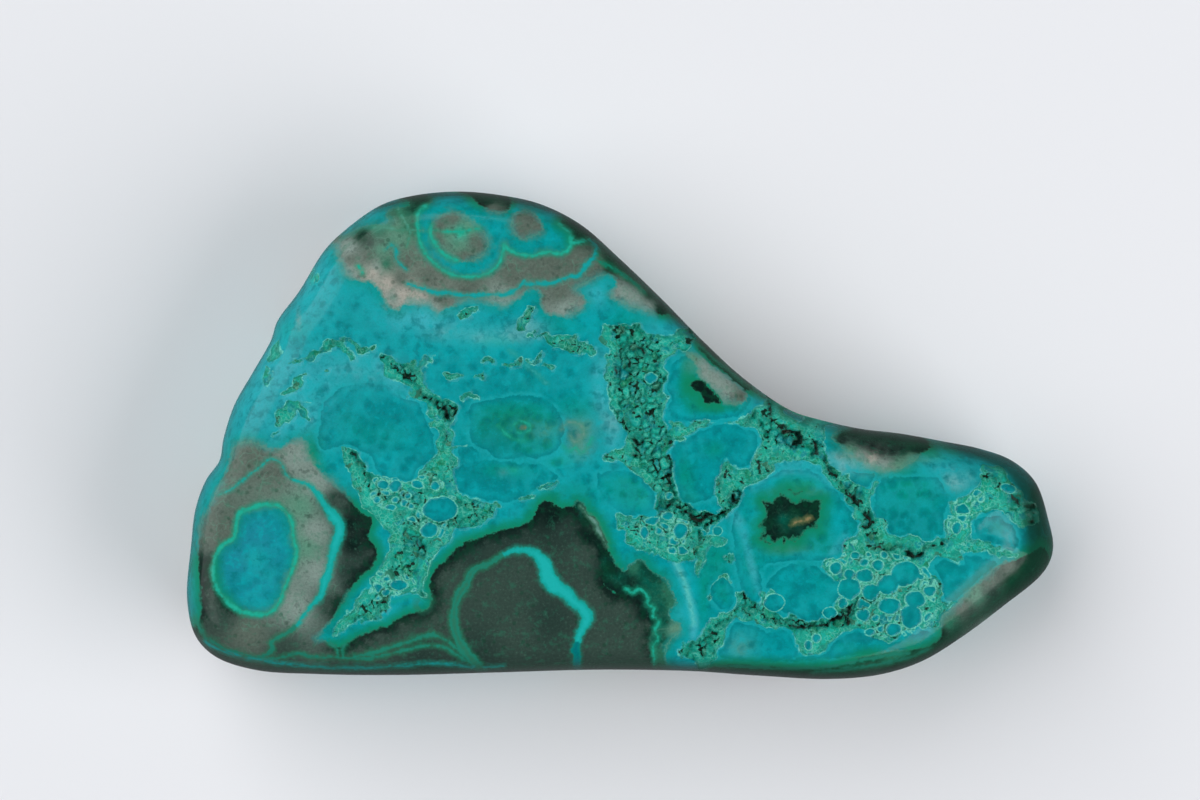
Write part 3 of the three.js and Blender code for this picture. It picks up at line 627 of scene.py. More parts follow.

# Open, rough veins: how open, from 0 to 1, and so how much painted shade lies in their seams, how deep,
# and rows of x, y and half width.
VEINS = {
    "breccia": (0.75, 1.46, [
        [-1.4, 13.6, 0.7], [0.6, 12.2, 1.6], [2.2, 9.8, 2.9], [2.2, 6.6, 3], [2.4, 3, 2.8], [3.4, 0, 2.4],
        [3.9, -2.6, 2], [5, -5, 1.2], [5.5, -7, 0.8], [5.6, -9.2, 1.2],
    ]),
    "breccia_hem": (0.4, 0.4, [[-1.4, 10.4, 0.5], [-1.2, 6, 0.5], [-1, 3.6, 0.6]]),
    "breccia_foot": (0.4, 0.5, [[-1.4, -2.4, 0.4], [0.6, -2.8, 0.8], [2.4, -4, 0.8], [4, -5.8, 0.5]]),
    "lower_breccia": (0.45, 0.85, [
        [-0.2, -10.6, 0.4], [1.6, -11, 0.8], [4, -11.4, 1.6], [6.6, -12, 2.2], [8.6, -12.6, 1.2],
        [8, -14.6, 0.9],
    ]),
    "lower_breccia_side": (0.4, 0.525, [
        [1.6, -11.6, 0.5], [1.9, -13.4, 0.8], [4.4, -13.8, 0.9], [6.4, -14.8, 0.6],
    ]),
    "breast_branch": (0.6, 0.933, [[3.6, 11.4, 1], [6.2, 11.4, 0.9], [8.4, 12.3, 0.7]]),
    "breast_dash_one": (0.6, 0.533, [[-11.4, 15.9, 0.2], [-11.7, 14.9, 0.35], [-12.6, 14, 0.5]]),
    "breast_dash_two": (0.6, 0.533, [[-11.2, 12.8, 0.3], [-10.2, 12.3, 0.3], [-9.2, 12.5, 0.4]]),
    "breast_dash_three": (0.55, 0.625, [
        [-8.8, 11.8, 0.5], [-7, 11.4, 0.7], [-5, 11.2, 0.6], [-3.4, 10.4, 0.4],
    ]),
    "breast_fleck_one": (0.6, 0.3, [[-14.8, 8.8, 0.2], [-13.2, 8.6, 0.25], [-12.6, 9.6, 0.2]]),
    "breast_fleck_two": (0.6, 0.3, [[-11.8, 9.4, 0.2], [-10.4, 9.4, 0.25], [-9.8, 10.2, 0.2]]),
    "breast_fleck_three": (0.6, 0.3, [[-18.9, 7.2, 0.2], [-17.8, 7.5, 0.35], [-17.4, 7, 0.2]]),
    "breast_fleck_four": (0.5, 0.3, [[-21.6, 7.6, 0.2], [-21, 7.2, 0.25], [-19.8, 7.1, 0.15]]),
    "breast_fleck_five": (0.5, 0.3, [[-19.8, 4.6, 0.2], [-19, 5, 0.3], [-18, 4.7, 0.15]]),
    "breast_fleck_six": (0.5, 0.3, [[-20.2, 15, 0.15], [-19.4, 15.4, 0.3], [-18.4, 15.9, 0.15]]),
    "breast_fleck_seven": (0.5, 0.3, [[-17.4, 9.2, 0.15], [-16.6, 9.4, 0.3], [-16, 9.3, 0.15]]),
    "breast_fleck_eight": (0.5, 0.3, [[-9.4, 8.7, 0.15], [-8.8, 8.6, 0.25]]),
    "shoulder_arc": (0.5, 0.667, [
        [-41.4, 9, 0.3], [-40.4, 9.4, 0.4], [-38.8, 10.1, 0.35], [-37.4, 10.7, 0.3], [-35.8, 11.5, 0.35],
        [-34.2, 11.9, 0.3], [-33.2, 11.2, 0.35], [-32, 10.4, 0.45], [-30.6, 11, 0.25],
    ]),
    "shoulder_spur": (0.3, 0.4, [[-35, 11.4, 0.3], [-34.2, 9.9, 0.35], [-33.6, 9.4, 0.3]]),
    "lace_one": (0.2, 0.325, [[-39.2, 7.5, 0.3], [-40, 6.7, 0.55], [-41.2, 6, 0.6], [-42, 5.2, 0.35]]),
    "edge_lace": (0.1, 0.2, [[-44.4, 6.2, 0.2], [-44, 7.1, 0.4], [-44.2, 8, 0.15]]),
    "edge_lace_high": (0.1, 0.2, [[-43.9, 9.4, 0.25], [-43.3, 10.5, 0.45], [-42.8, 11.6, 0.2]]),
    "lace_two": (0.2, 0.38, [
        [-43, 2, 0.4], [-41.9, 3, 0.9], [-40.6, 3.6, 0.9], [-39.6, 2.8, 0.5], [-39.2, 2, 0.3],
    ]),
    "lace_three": (0.1, 0.3, [[-40.2, 4.2, 0.3], [-38.6, 4.3, 0.2]]),
    "lace_four": (0.4, 0.3, [[-43.3, -0.5, 0.15], [-42.8, 0.1, 0.35]]),
    "lace_five": (0.2, 0.2, [[-37.3, 8, 0.15], [-36.6, 8.2, 0.2]]),
    "lace_six": (0.2, 0.233, [[-38.9, 19, 0.2], [-38.2, 19.7, 0.5], [-37.8, 20.3, 0.3]]),
    "heart_crack": (0.9, 1.113, [
        [-29.6, 9.6, 0.35], [-28.6, 8.6, 0.6], [-27.2, 8, 0.9], [-26, 6.8, 0.8], [-24.8, 5.2, 0.5],
        [-23.4, 4.2, 0.5], [-21.8, 3.2, 0.9], [-21.4, 2.4, 0.7],
    ]),
    "heart_side": (0.4, 0.525, [
        [-25.4, 4.7, 0.25], [-24.2, 3.8, 0.3], [-23.4, 2.6, 0.4], [-22.4, 1.6, 0.4],
    ]),
    "heart_tail": (0.7, 0.725, [
        [-22.6, 1.2, 0.6], [-22.2, 0.2, 0.5], [-21.9, -1, 0.4], [-22, -2.2, 0.4], [-21.6, -3.4, 0.5],
        [-23.6, -4, 0.5], [-23.4, -5.4, 0.6], [-21.6, -5.6, 0.5],
    ]),
    "heart_left": (0.6, 0.5, [[-24.9, -4.9, 0.2], [-24.6, -4.3, 0.4], [-23.6, -3.6, 0.4]]),
    "heart_above": (0.4, 0.2, [[-27.2, 3.9, 0], [-24.2, 9.6, 0.3], [-23.8, 9.5, 0.3]]),
    "root_upper": (0.7, 0.882, [
        [-33.6, -2, 0.25], [-32.8, -3, 0.5], [-31.8, -4.6, 0.4], [-31.2, -6.2, 0.8], [-29.8, -7.2, 0.9],
        [-28, -7.8, 1.1], [-26.2, -8.2, 1.2], [-24.6, -7.6, 0.6], [-22.6, -7.2, 0.3], [-20.6, -7.9, 0.5],
        [-18.6, -9.2, 0.9],
    ]),
    "root_lower": (0.8, 1.008, [
        [-17, -9.8, 0.7], [-19.2, -10.6, 0.9], [-21.4, -11, 0.6], [-25.2, -10.8, 1.3], [-26, -12.4, 1.4],
        [-25.6, -14, 1.4], [-26.8, -15.4, 1.3], [-27.2, -17.4, 1.3], [-28.6, -19.2, 1],
        [-30.4, -20.8, 0.9], [-32, -22.4, 0.8], [-33.8, -23.8, 0.5],
    ]),
    "root_spur": (0.8, 0.933, [[-26, -16.8, 0.4], [-25.4, -18.4, 0.35], [-24.7, -20, 0.25]]),
    "root_join": (0.6, 0.8, [[-27.6, -8.8, 0.6], [-27.2, -10.4, 0.7], [-26.2, -11.8, 0.7]]),
    "pool_dash": (0.6, 0.4, [[-13.4, -8, 0.2], [-12, -8, 0.4], [-10.8, -7.2, 0.2]]),
    "pool_dash_on": (0.6, 0.4, [[-10.2, -6.4, 0.2], [-9.6, -6.3, 0.35], [-8.2, -6, 0.15]]),
    "saddle_crack": (0.95, 1.533, [
        [6.2, -3, 0.4], [6.2, -5.4, 0.4], [6.6, -7.6, 0.6], [7.4, -9.2, 0.7], [9, -10.4, 0.8],
        [10.8, -10.6, 0.8], [12.4, -10.2, 0.7], [13.6, -9, 0.7], [14.4, -7.8, 0.8],
    ]),
    "saddle_stem": (0.95, 0.967, [[9.8, -12, 0.3], [9.6, -14, 0.25], [9.6, -16.4, 0.25]]),
    "saddle_dot": (0.8, 0.4, [[13.5, -15.2, 0.4], [13.9, -15.6, 0.4]]),
    "keel_patch": (0.8, 1.2, [
        [7.8, -27.6, 0.6], [9.4, -27, 1.2], [10.6, -26.2, 1.3], [11.4, -24.8, 0.8], [12.6, -23.4, 0.9],
        [14, -22.4, 0.6], [15.6, -21.6, 0.9],
    ]),
    "keel_shoots": (0.4, 0.35, [
        [10.8, -20.6, 0.15], [11.8, -18.4, 0.2], [12.8, -17.8, 0.2], [14, -18.8, 0.15],
    ]),
    "keel_crack": (0.9, 1.258, [
        [14.8, -19.6, 0.3], [15.6, -20.8, 0.6], [16.8, -21.8, 0.7], [18.4, -22.8, 0.8], [20.2, -23.2, 0.7],
        [21.8, -23.6, 0.7], [24, -24, 0.6], [26.2, -23.6, 0.6], [27.8, -22.6, 0.9], [29.2, -21.6, 0.8],
        [31, -21, 0.7], [32.2, -20.4, 0.5],
    ]),
    "keel_bank": (0.5, 0.733, [[17.6, -20, 0.3], [18, -21.4, 0.5], [19.2, -22.8, 0.6]]),
    "bubble_bed": (0.45, 0.717, [
        [28.6, -14, 1.4], [31, -15, 1.8], [33.6, -16.6, 2.4], [33.4, -19, 2.8], [33, -21.6, 2.8],
        [33, -23.8, 2],
    ]),
    "bubble_bed_right": (0.45, 0.525, [
        [36.4, -18.4, 1.8], [38.4, -19.6, 1.2], [38.6, -22, 0.9], [39, -23.4, 0.5],
    ]),
    "bubble_bed_left": (0.4, 0.5, [[25.4, -15.9, 0.3], [27, -16.6, 0.9], [29.2, -17.2, 0.9]]),
    "notch_cave": (0.9, 1.42, [
        [16.4, 2.2, 0.6], [18.4, 1.4, 0.9], [20, 0.2, 1.3], [22, -0.4, 1.5], [24.2, -1.6, 0.9],
    ]),
    "notch_rim": (0.7, 0.6, [[15.2, 2, 0.3], [16.6, 2.4, 0.6], [18.2, 3.2, 0.8], [18.8, 4.2, 0.5]]),
    "notch_right": (0.7, 0.5, [[24.2, 0.2, 0.4], [25, 0.9, 0.35]]),
    "neck_crack": (0.85, 1.067, [
        [25.4, -3.2, 0.4], [26.4, -4.6, 0.45], [27.8, -6.2, 0.5], [29.4, -8, 0.9], [30.4, -9.6, 0.6],
        [30.9, -11.2, 0.8], [31.4, -13.2, 0.9], [32.4, -14.2, 0.4], [34.6, -14.4, 0.3], [36.8, -14.8, 0.4],
        [38.4, -14.2, 0.3], [40.4, -13.4, 0.4],
    ]),
    "neck_spur": (0.5, 0.5, [[30, -9, 0.3], [31, -7.4, 0.2], [31.8, -6.4, 0.15]]),
    "neck_branch": (0.6, 0.85, [
        [12.2, -6.6, 0.5], [12.6, -5.4, 0.6], [13.2, -3.6, 0.5], [14.6, -5.2, 0.8], [16.4, -5.2, 0.6],
        [17.4, -4.2, 0.7], [18.4, -2.6, 0.6], [18.4, -0.8, 0.7],
    ]),
    "neck_side": (0.5, 0.667, [[12.2, -7, 0.5], [12.8, -8.4, 0.5], [13.6, -9.2, 0.3]]),
    "cave_floor": (0.5, 0.633, [[18.8, -3.4, 0.5], [20.4, -2.2, 0.8], [22.6, -2.2, 0.6]]),
    "saddle_dashes": (0.3, 0.375, [[6.2, 1.4, 0.3], [7.6, 1, 0.5], [9.2, 1.4, 0.35], [10.8, 1.6, 0.3]]),
    "saddle_dashes_low": (0.3, 0.3, [[6.6, -0.2, 0.3], [8.2, -0.6, 0.35]]),
    "tail_rough": (0.7, 0.817, [
        [44.8, -5, 0.3], [46, -4.8, 0.6], [47.6, -5.4, 0.9], [48.6, -7.2, 1], [49.6, -8.8, 1.1],
        [51.4, -9.6, 0.9],
    ]),
    "tail_lace": (0.3, 0.5, [[45.8, -7.2, 0.7], [44.2, -8.2, 0.9], [42.6, -8.6, 0.8], [41.6, -8.8, 0.3]]),
    "tail_lace_low": (0.3, 0.475, [
        [42.2, -10.6, 0.5], [41.8, -12.2, 0.7], [42.8, -13.8, 0.8], [44.4, -13.9, 0.5],
    ]),
    "tail_lace_end": (0.3, 0.375, [
        [43.4, -11, 0.35], [43.4, -12.6, 0.4], [46, -13.8, 0.35], [48.6, -14.6, 0.3],
    ]),
    "tail_lace_left": (0.3, 0.45, [
        [32.4, -10.8, 0.4], [33, -12.8, 0.5], [35.6, -13.2, 0.4], [36.6, -13.6, 0.6],
    ]),
    "tail_dash": (0.7, 0.55, [[37.8, -17.3, 0.2], [38.9, -18.3, 0.2]]),
    "tail_dashes": (0.3, 0.3, [[40.4, -21.4, 0.25], [41.4, -20.9, 0.25], [42, -20.7, 0.15]]),
}

# Green, rubbly matrix between the pools: closed outlines.
MATRIX = {
    "breccia": [
        [-2, 13.9], [-2.6, 12.6], [-2.3, 11.2], [-1.4, 9.6], [-1.2, 7.8], [-1.9, 5.8], [-1.3, 4],
        [-0.8, 2.8], [0.4, 1.6], [0.8, 0.2], [0.2, -1.4], [-1.4, -2.2], [0.4, -3.4], [1.2, -4.6],
        [2.6, -5], [3.6, -6], [4.4, -7.4], [4.9, -9], [6.4, -9], [6.8, -7.8], [6.4, -6], [6.4, -4],
        [5.9, -2.2], [5.6, 0], [5.4, 2], [5.6, 4], [5.1, 6], [5.6, 7.6], [5.4, 9], [6.8, 10.2],
        [8.6, 11.2], [9, 12.4], [8, 12.9], [6, 12.4], [4.6, 12.8], [2, 12.6], [0.6, 12.2], [-0.8, 13.6],
    ],
    "lower_breccia": [
        [-0.5, -10.2], [1.6, -10.5], [3, -10.6], [4.2, -10], [5, -9.2], [7, -8.6], [8.6, -9.6],
        [9.8, -10.4], [9.8, -11.6], [9.4, -13], [9.3, -15], [8.6, -15.4], [7.2, -15.8], [6, -15],
        [4.6, -14.6], [3.2, -13.8], [1.8, -14.4], [1.4, -13], [0.4, -11.8], [-0.6, -11.8],
    ],
    "neck": [
        [6, -1.2], [6.2, 0.8], [7, 1.4], [9, 1.4], [10.4, 1.8], [11.4, 1.5], [13.4, 1.7], [14.4, 1.8],
        [15.4, 2.4], [17, 2.4], [17.6, 3.6], [18, 4.6], [19.4, 4.2], [20.6, 2.6], [23, 1.6], [25.4, 1],
        [25.2, -1.4], [25.8, -3.2], [27, -4.4], [28.6, -5.6], [30.2, -6.6], [31.2, -6.6], [31.9, -5.6],
        [32.2, -6.2], [31.4, -7.6], [31.2, -9.4], [31.8, -10.8], [33, -10.8], [33.4, -12.2], [35, -12.9],
        [36.2, -12.4], [37.4, -12.6], [38.2, -13.3], [39.6, -13.2], [40.6, -12.6], [40.8, -11.2],
        [41.6, -10.2], [41, -8.6], [42, -8], [43.4, -7.2], [44.4, -6.4], [45, -5.2], [44.9, -3.8],
        [46, -3.8], [47.8, -3.8], [48.6, -5.2], [50, -6.8], [51.6, -8.2], [52.6, -9], [52.6, -11],
        [51.2, -11.2], [49.6, -11.2], [48, -9.8], [46.4, -9.2], [44.4, -10], [43.8, -11.2], [44, -13],
        [45.2, -13.6], [46.6, -12.8], [46.2, -13.8], [47.6, -14.4], [49.6, -15], [47.4, -15.3],
        [45.6, -14.7], [43.6, -14.6], [42.2, -14.8], [43, -15.8], [41.8, -16], [40, -15.4], [38.4, -15.8],
        [38.6, -17], [39.6, -18.4], [39.6, -19.6], [40.4, -20.8], [42, -20.6], [40.6, -21.8],
        [39.8, -22.4], [39.6, -24], [38.4, -23.8], [37.8, -24.2], [35.2, -24.6], [35.2, -25.3],
        [32.8, -25.5], [31.4, -24.6], [29.8, -24.1], [28, -24.4], [26.6, -25.6], [26, -26.6], [25, -27.3],
        [22.6, -27.6], [22, -25.8], [21.2, -24.6], [20.2, -24.2], [19.2, -24.5], [17.6, -24],
        [16.6, -23.4], [15, -23.2], [13.6, -23.6], [13, -25], [12.2, -26.6], [11.2, -28.4], [10, -29],
        [9.4, -27.8], [9.8, -25.6], [11.2, -23.6], [12.4, -22.1], [14, -21.8], [14.6, -20.8],
        [14.5, -19.4], [15.4, -20.4], [16.6, -21.3], [17.8, -20.8], [18.4, -19.6], [19.2, -19.4],
        [18.6, -20.6], [19, -21.8], [20.4, -22.6], [22, -23], [24, -23.5], [25.4, -23], [26.6, -22.9],
        [27.4, -22.2], [27, -21.2], [27.8, -20.2], [28.8, -19.6], [28.6, -18.2], [27, -18], [26, -17.4],
        [25.2, -16.1], [26.6, -16.1], [27.4, -15.5], [28, -14.4], [28.2, -13.2], [29.4, -12.8],
        [30.2, -11.6], [30, -10.8], [29, -10.2], [29.2, -9.2], [28.6, -8.2], [28, -7.4], [26.6, -6.6],
        [25.6, -5.2], [24.6, -4], [23.2, -3.5], [21, -3.3], [19.4, -3.8], [18.4, -4.6], [17.6, -5.6],
        [16, -6.2], [15.2, -7], [14.6, -8.6], [13.8, -9.4], [12.8, -9], [11.9, -8.2], [11.9, -6.6],
        [12, -5.4], [12.8, -4.4], [12.8, -3.2], [13.6, -3], [14, -3.8], [15.2, -4.4], [16.2, -4],
        [16.2, -3.2], [17.2, -2], [17.8, -0.6], [17, 0.6], [15.6, 1.4], [13.4, 1.4], [11.2, 1.3],
        [9.8, 0.4], [8, -0.4], [6.6, -0.4],
    ],
    "heart": [
        [-30, 9.6], [-28.6, 9.8], [-27.4, 9], [-25.6, 9.1], [-24.8, 8], [-24.4, 6.4], [-23.2, 5.2],
        [-21.8, 4.4], [-20.8, 3.8], [-20.6, 2.6], [-21.2, 1.4], [-21, 0.2], [-20.8, -1.2], [-19.2, -0.9],
        [-20.8, -1.8], [-20.6, -4], [-20.4, -6.6], [-18.8, -7.7], [-17, -8.5], [-15, -8.7], [-17.4, -9.4],
        [-19.8, -9.2], [-21.6, -8], [-23, -7.4], [-24.6, -7.4], [-22.9, -6.2], [-23.6, -5.2],
        [-24.8, -5.2], [-25, -4.4], [-24, -3.2], [-22.8, -2.2], [-22.9, -0.6], [-23, 0.8], [-24.5, 1.2],
        [-23.4, 1.9], [-23.8, 3], [-25.4, 4.5], [-26.4, 5.6], [-28, 6.4], [-29.5, 7.6], [-29.7, 8.8],
    ],
    "root": [
        [-34.8, -1.6], [-33.6, -1.8], [-32.4, -2.8], [-31.8, -4.4], [-30.4, -5.2], [-28.4, -5.4],
        [-26.4, -5.8], [-25, -5], [-23.4, -4.6], [-21.8, -5.6], [-20.4, -6.8], [-18.6, -7.8],
        [-16.2, -8.8], [-17, -9.8], [-19.4, -10.6], [-20.6, -11.6], [-21.6, -13.2], [-23, -14.6],
        [-23.8, -16.2], [-24.4, -17.8], [-24.8, -19.4], [-26.4, -19.8], [-28.6, -20.4], [-30.6, -21.4],
        [-32.2, -22.8], [-34.4, -24.4], [-35.8, -24.8], [-35.2, -23.4], [-33.6, -21.6], [-32.2, -19.6],
        [-30.8, -17.8], [-29.6, -16], [-28.8, -13.8], [-29.4, -11.8], [-31.2, -9.8], [-32.8, -7.4],
        [-34, -4.8],
    ],
    "keel_left": [
        [9.9, -13], [11, -12.6], [13.2, -13], [13.2, -13.6], [11, -14], [10.2, -16.4], [9.6, -17.4],
        [9.2, -15.6],
    ],
}

# Parts of the matrix that are packed with rounded cells: cell size, seam and a closed outline.
CELL_FIELDS = {
    "bubbles": (1.3, 0.16, [
        [25.6, -16], [27.4, -15.4], [28.4, -13.6], [30.4, -13], [31.4, -14.8], [34, -14.8], [36.4, -15.4],
        [38, -15.9], [38.4, -17], [39.6, -18.4], [39.8, -21], [39, -23], [38, -24], [35, -25.2],
        [32.6, -25.2], [30.2, -23.7], [29.4, -21.4], [29.2, -19.6], [28.6, -18], [26.6, -17.6],
    ]),
    "root": (1.3, 0.14, [
        [-31, -5.4], [-27, -5.4], [-24, -5], [-21.6, -6.4], [-20.6, -8], [-21.6, -10.6], [-22.6, -13],
        [-24.4, -12.6], [-26.4, -10.8], [-28.6, -9.4], [-31, -8.6],
    ]),
    "root_foot": (1.1, 0.14, [[-30.4, -17], [-26.6, -17.4], [-25.4, -19.2], [-28, -20], [-31.4, -20.6]]),
    "tail": (1.2, 0.15, [
        [41.4, -8.8], [44.6, -6.8], [46.6, -8.8], [43.6, -10.2], [43.2, -13.8], [41, -12.4],
    ]),
    "low": (1.4, 0.16, [[2.2, -10.8], [8.6, -10.8], [9, -14.6], [4.4, -14.2]]),
}

# Smooth rounded pools of chrysocolla: a core colour and a closed outline.
POOLS = {
    "left": (TEAL, [
        [-36.4, 5], [-33.4, 6.4], [-30.4, 6.4], [-27.6, 5.2], [-25.6, 4], [-24.2, 2], [-23.5, 0],
        [-23.2, -2], [-23.8, -3.2], [-25.4, -4], [-26, -5.6], [-28.6, -5.8], [-30.4, -4.6], [-31.6, -2.4],
        [-34, -1.2], [-37, -2], [-38.2, -0.4], [-37.4, 2.4],
    ]),
    "breast": (SEA, [
        [-18.8, 3.8], [-16, 4.6], [-13, 5], [-10, 4.6], [-8, 3.4], [-7.2, 1], [-7.8, -2], [-9.6, -3],
        [-13, -3], [-15.8, -2.8], [-17.2, -1.8], [-18.6, -0.8], [-19, 1.6],
    ]),
    "breast_low": (TEAL, [
        [-20.8, -4], [-18, -3.3], [-13, -3.3], [-9.2, -4], [-7.6, -5.3], [-9.6, -6], [-12, -7.6],
        [-15, -8.4], [-18, -7.8], [-20.2, -6.8], [-20.9, -5.4],
    ]),
    "breast_cell": (TEAL, [
        [-20.2, -1.6], [-18.6, -1.4], [-17.6, -2.4], [-18.4, -3.2], [-19.9, -3], [-20.5, -2.4],
    ]),
    "oval": (SEA, [
        [-3.2, -5.2], [-1, -4.5], [1.2, -4.7], [2.8, -5.4], [4.2, -7.2], [4.4, -8.8], [3.2, -9.8],
        [1, -10.1], [-0.8, -9.3], [-2.4, -7.6], [-3.2, -6.2],
    ]),
    "saddle": (TEAL, [
        [6.4, -1.4], [7.6, -0.8], [9.4, 0.1], [11, 1.1], [13.6, 1.3], [15.6, 0.9], [17.1, -0.4],
        [17.1, -2], [16.2, -3.4], [15.2, -4.2], [13.8, -3.6], [13, -2.8], [12.6, -4.6], [11.8, -6],
        [11.8, -7.4], [11.2, -8.4], [10, -8.2], [8.6, -8.6], [7.4, -8], [6.8, -6], [6.5, -4],
    ]),
    "second_eye": (SEA, [
        [6.2, 8.6], [7.2, 9.7], [8.4, 10], [10, 9], [14, 6], [16.4, 5.4], [16.2, 4.2], [15, 2.6], [13, 2],
        [10, 1.9], [7.4, 1.8], [6.2, 2.8], [6.2, 4.6], [5.8, 6.6],
    ]),
    "main_eye": (SEA, [
        [15.2, -7.2], [17, -6.2], [18.6, -5], [20.4, -4.4], [23, -4.2], [25, -5], [26.4, -6.8],
        [28, -8.4], [28.8, -10], [29.8, -11.2], [29, -12.6], [28, -13.4], [27.4, -15], [25.4, -15.7],
        [22, -15.7], [18.6, -15.9], [17.6, -17], [17.5, -19.4], [16.7, -20.8], [15.5, -20], [14.5, -17],
        [13.9, -13], [13.9, -10.6], [14.6, -9.2],
    ]),
    "keel": (BLUE, [
        [18, -19], [18.8, -17.6], [20.4, -16.4], [22, -16.1], [24.2, -16.5], [25.6, -17.2], [26.4, -18.1],
        [28, -18.1], [28.6, -19], [28.4, -19.9], [27.2, -20.5], [26.7, -21.3], [27.2, -22.2],
        [26.2, -22.8], [25.3, -22.5], [24.8, -23.3], [23, -23.2], [21.6, -22.6], [20.4, -22],
        [19.1, -21.6], [18.5, -20.7], [19, -19.6],
    ]),
    "keel_foot": (TEAL, [
        [26.6, -26.2], [27.4, -25.3], [28.6, -24.7], [30, -24.4], [31.4, -25.1], [33, -25.9],
        [35.4, -25.7], [37, -24.6], [38.6, -24.6], [39.4, -25.4], [37, -26.5], [33, -27], [28, -27.7],
        [23, -28.3], [20, -28.2], [22.4, -27.8], [25.2, -27.5],
    ]),
    "keel_lobes": (BLUE, [
        [13.9, -23.8], [15.4, -23.5], [16.9, -23.8], [18, -24.6], [19.2, -24.7], [20.3, -24.4],
        [21.2, -25], [21.8, -26.2], [22.1, -27.4], [20.8, -28], [18, -28.4], [14, -28.2], [12, -27.4],
        [12.6, -26], [13.4, -25],
    ]),
    "keel_oval": (SEA, [
        [11.4, -18.6], [12.6, -17.8], [13.8, -18.6], [14.2, -20], [13.8, -21.4], [12.8, -21.8],
        [11.6, -21], [11, -19.8],
    ]),
    "tail": (TEAL, [
        [32.6, -5.2], [34, -5.4], [37, -5], [39.4, -5.2], [40.6, -6.4], [41, -7.8], [40.6, -9.6],
        [40.6, -11], [40, -12.5], [38.4, -12.9], [36, -12.4], [34, -12.3], [33, -10.7], [31.8, -10.2],
        [31.6, -8], [32, -6.4],
    ]),
    "tail_bud": (SEA, [[28.4, -4.9], [30, -4.6], [31.8, -5], [31.4, -5.9], [30.4, -6.6], [29.2, -6.1]]),
    "tail_right": (BLUE, [
        [44.2, -10.6], [45.4, -10], [47, -10.2], [48.6, -10.9], [49.4, -12], [49.6, -13.8], [49.2, -14.6],
        [47.6, -14], [46.4, -13.2], [44.8, -13.1], [44.2, -12],
    ]),
    "tail_low": (TEAL, [
        [39.6, -17.6], [39, -16.5], [40.2, -15.8], [41.8, -16.1], [43.2, -16.2], [42.8, -15.2],
        [44.6, -15.1], [46.4, -15.5], [47.2, -16], [45.4, -17.4], [43.4, -19.3], [42, -20.4],
        [40.8, -20.8], [40, -19.8], [40, -18.6],
    ]),
}
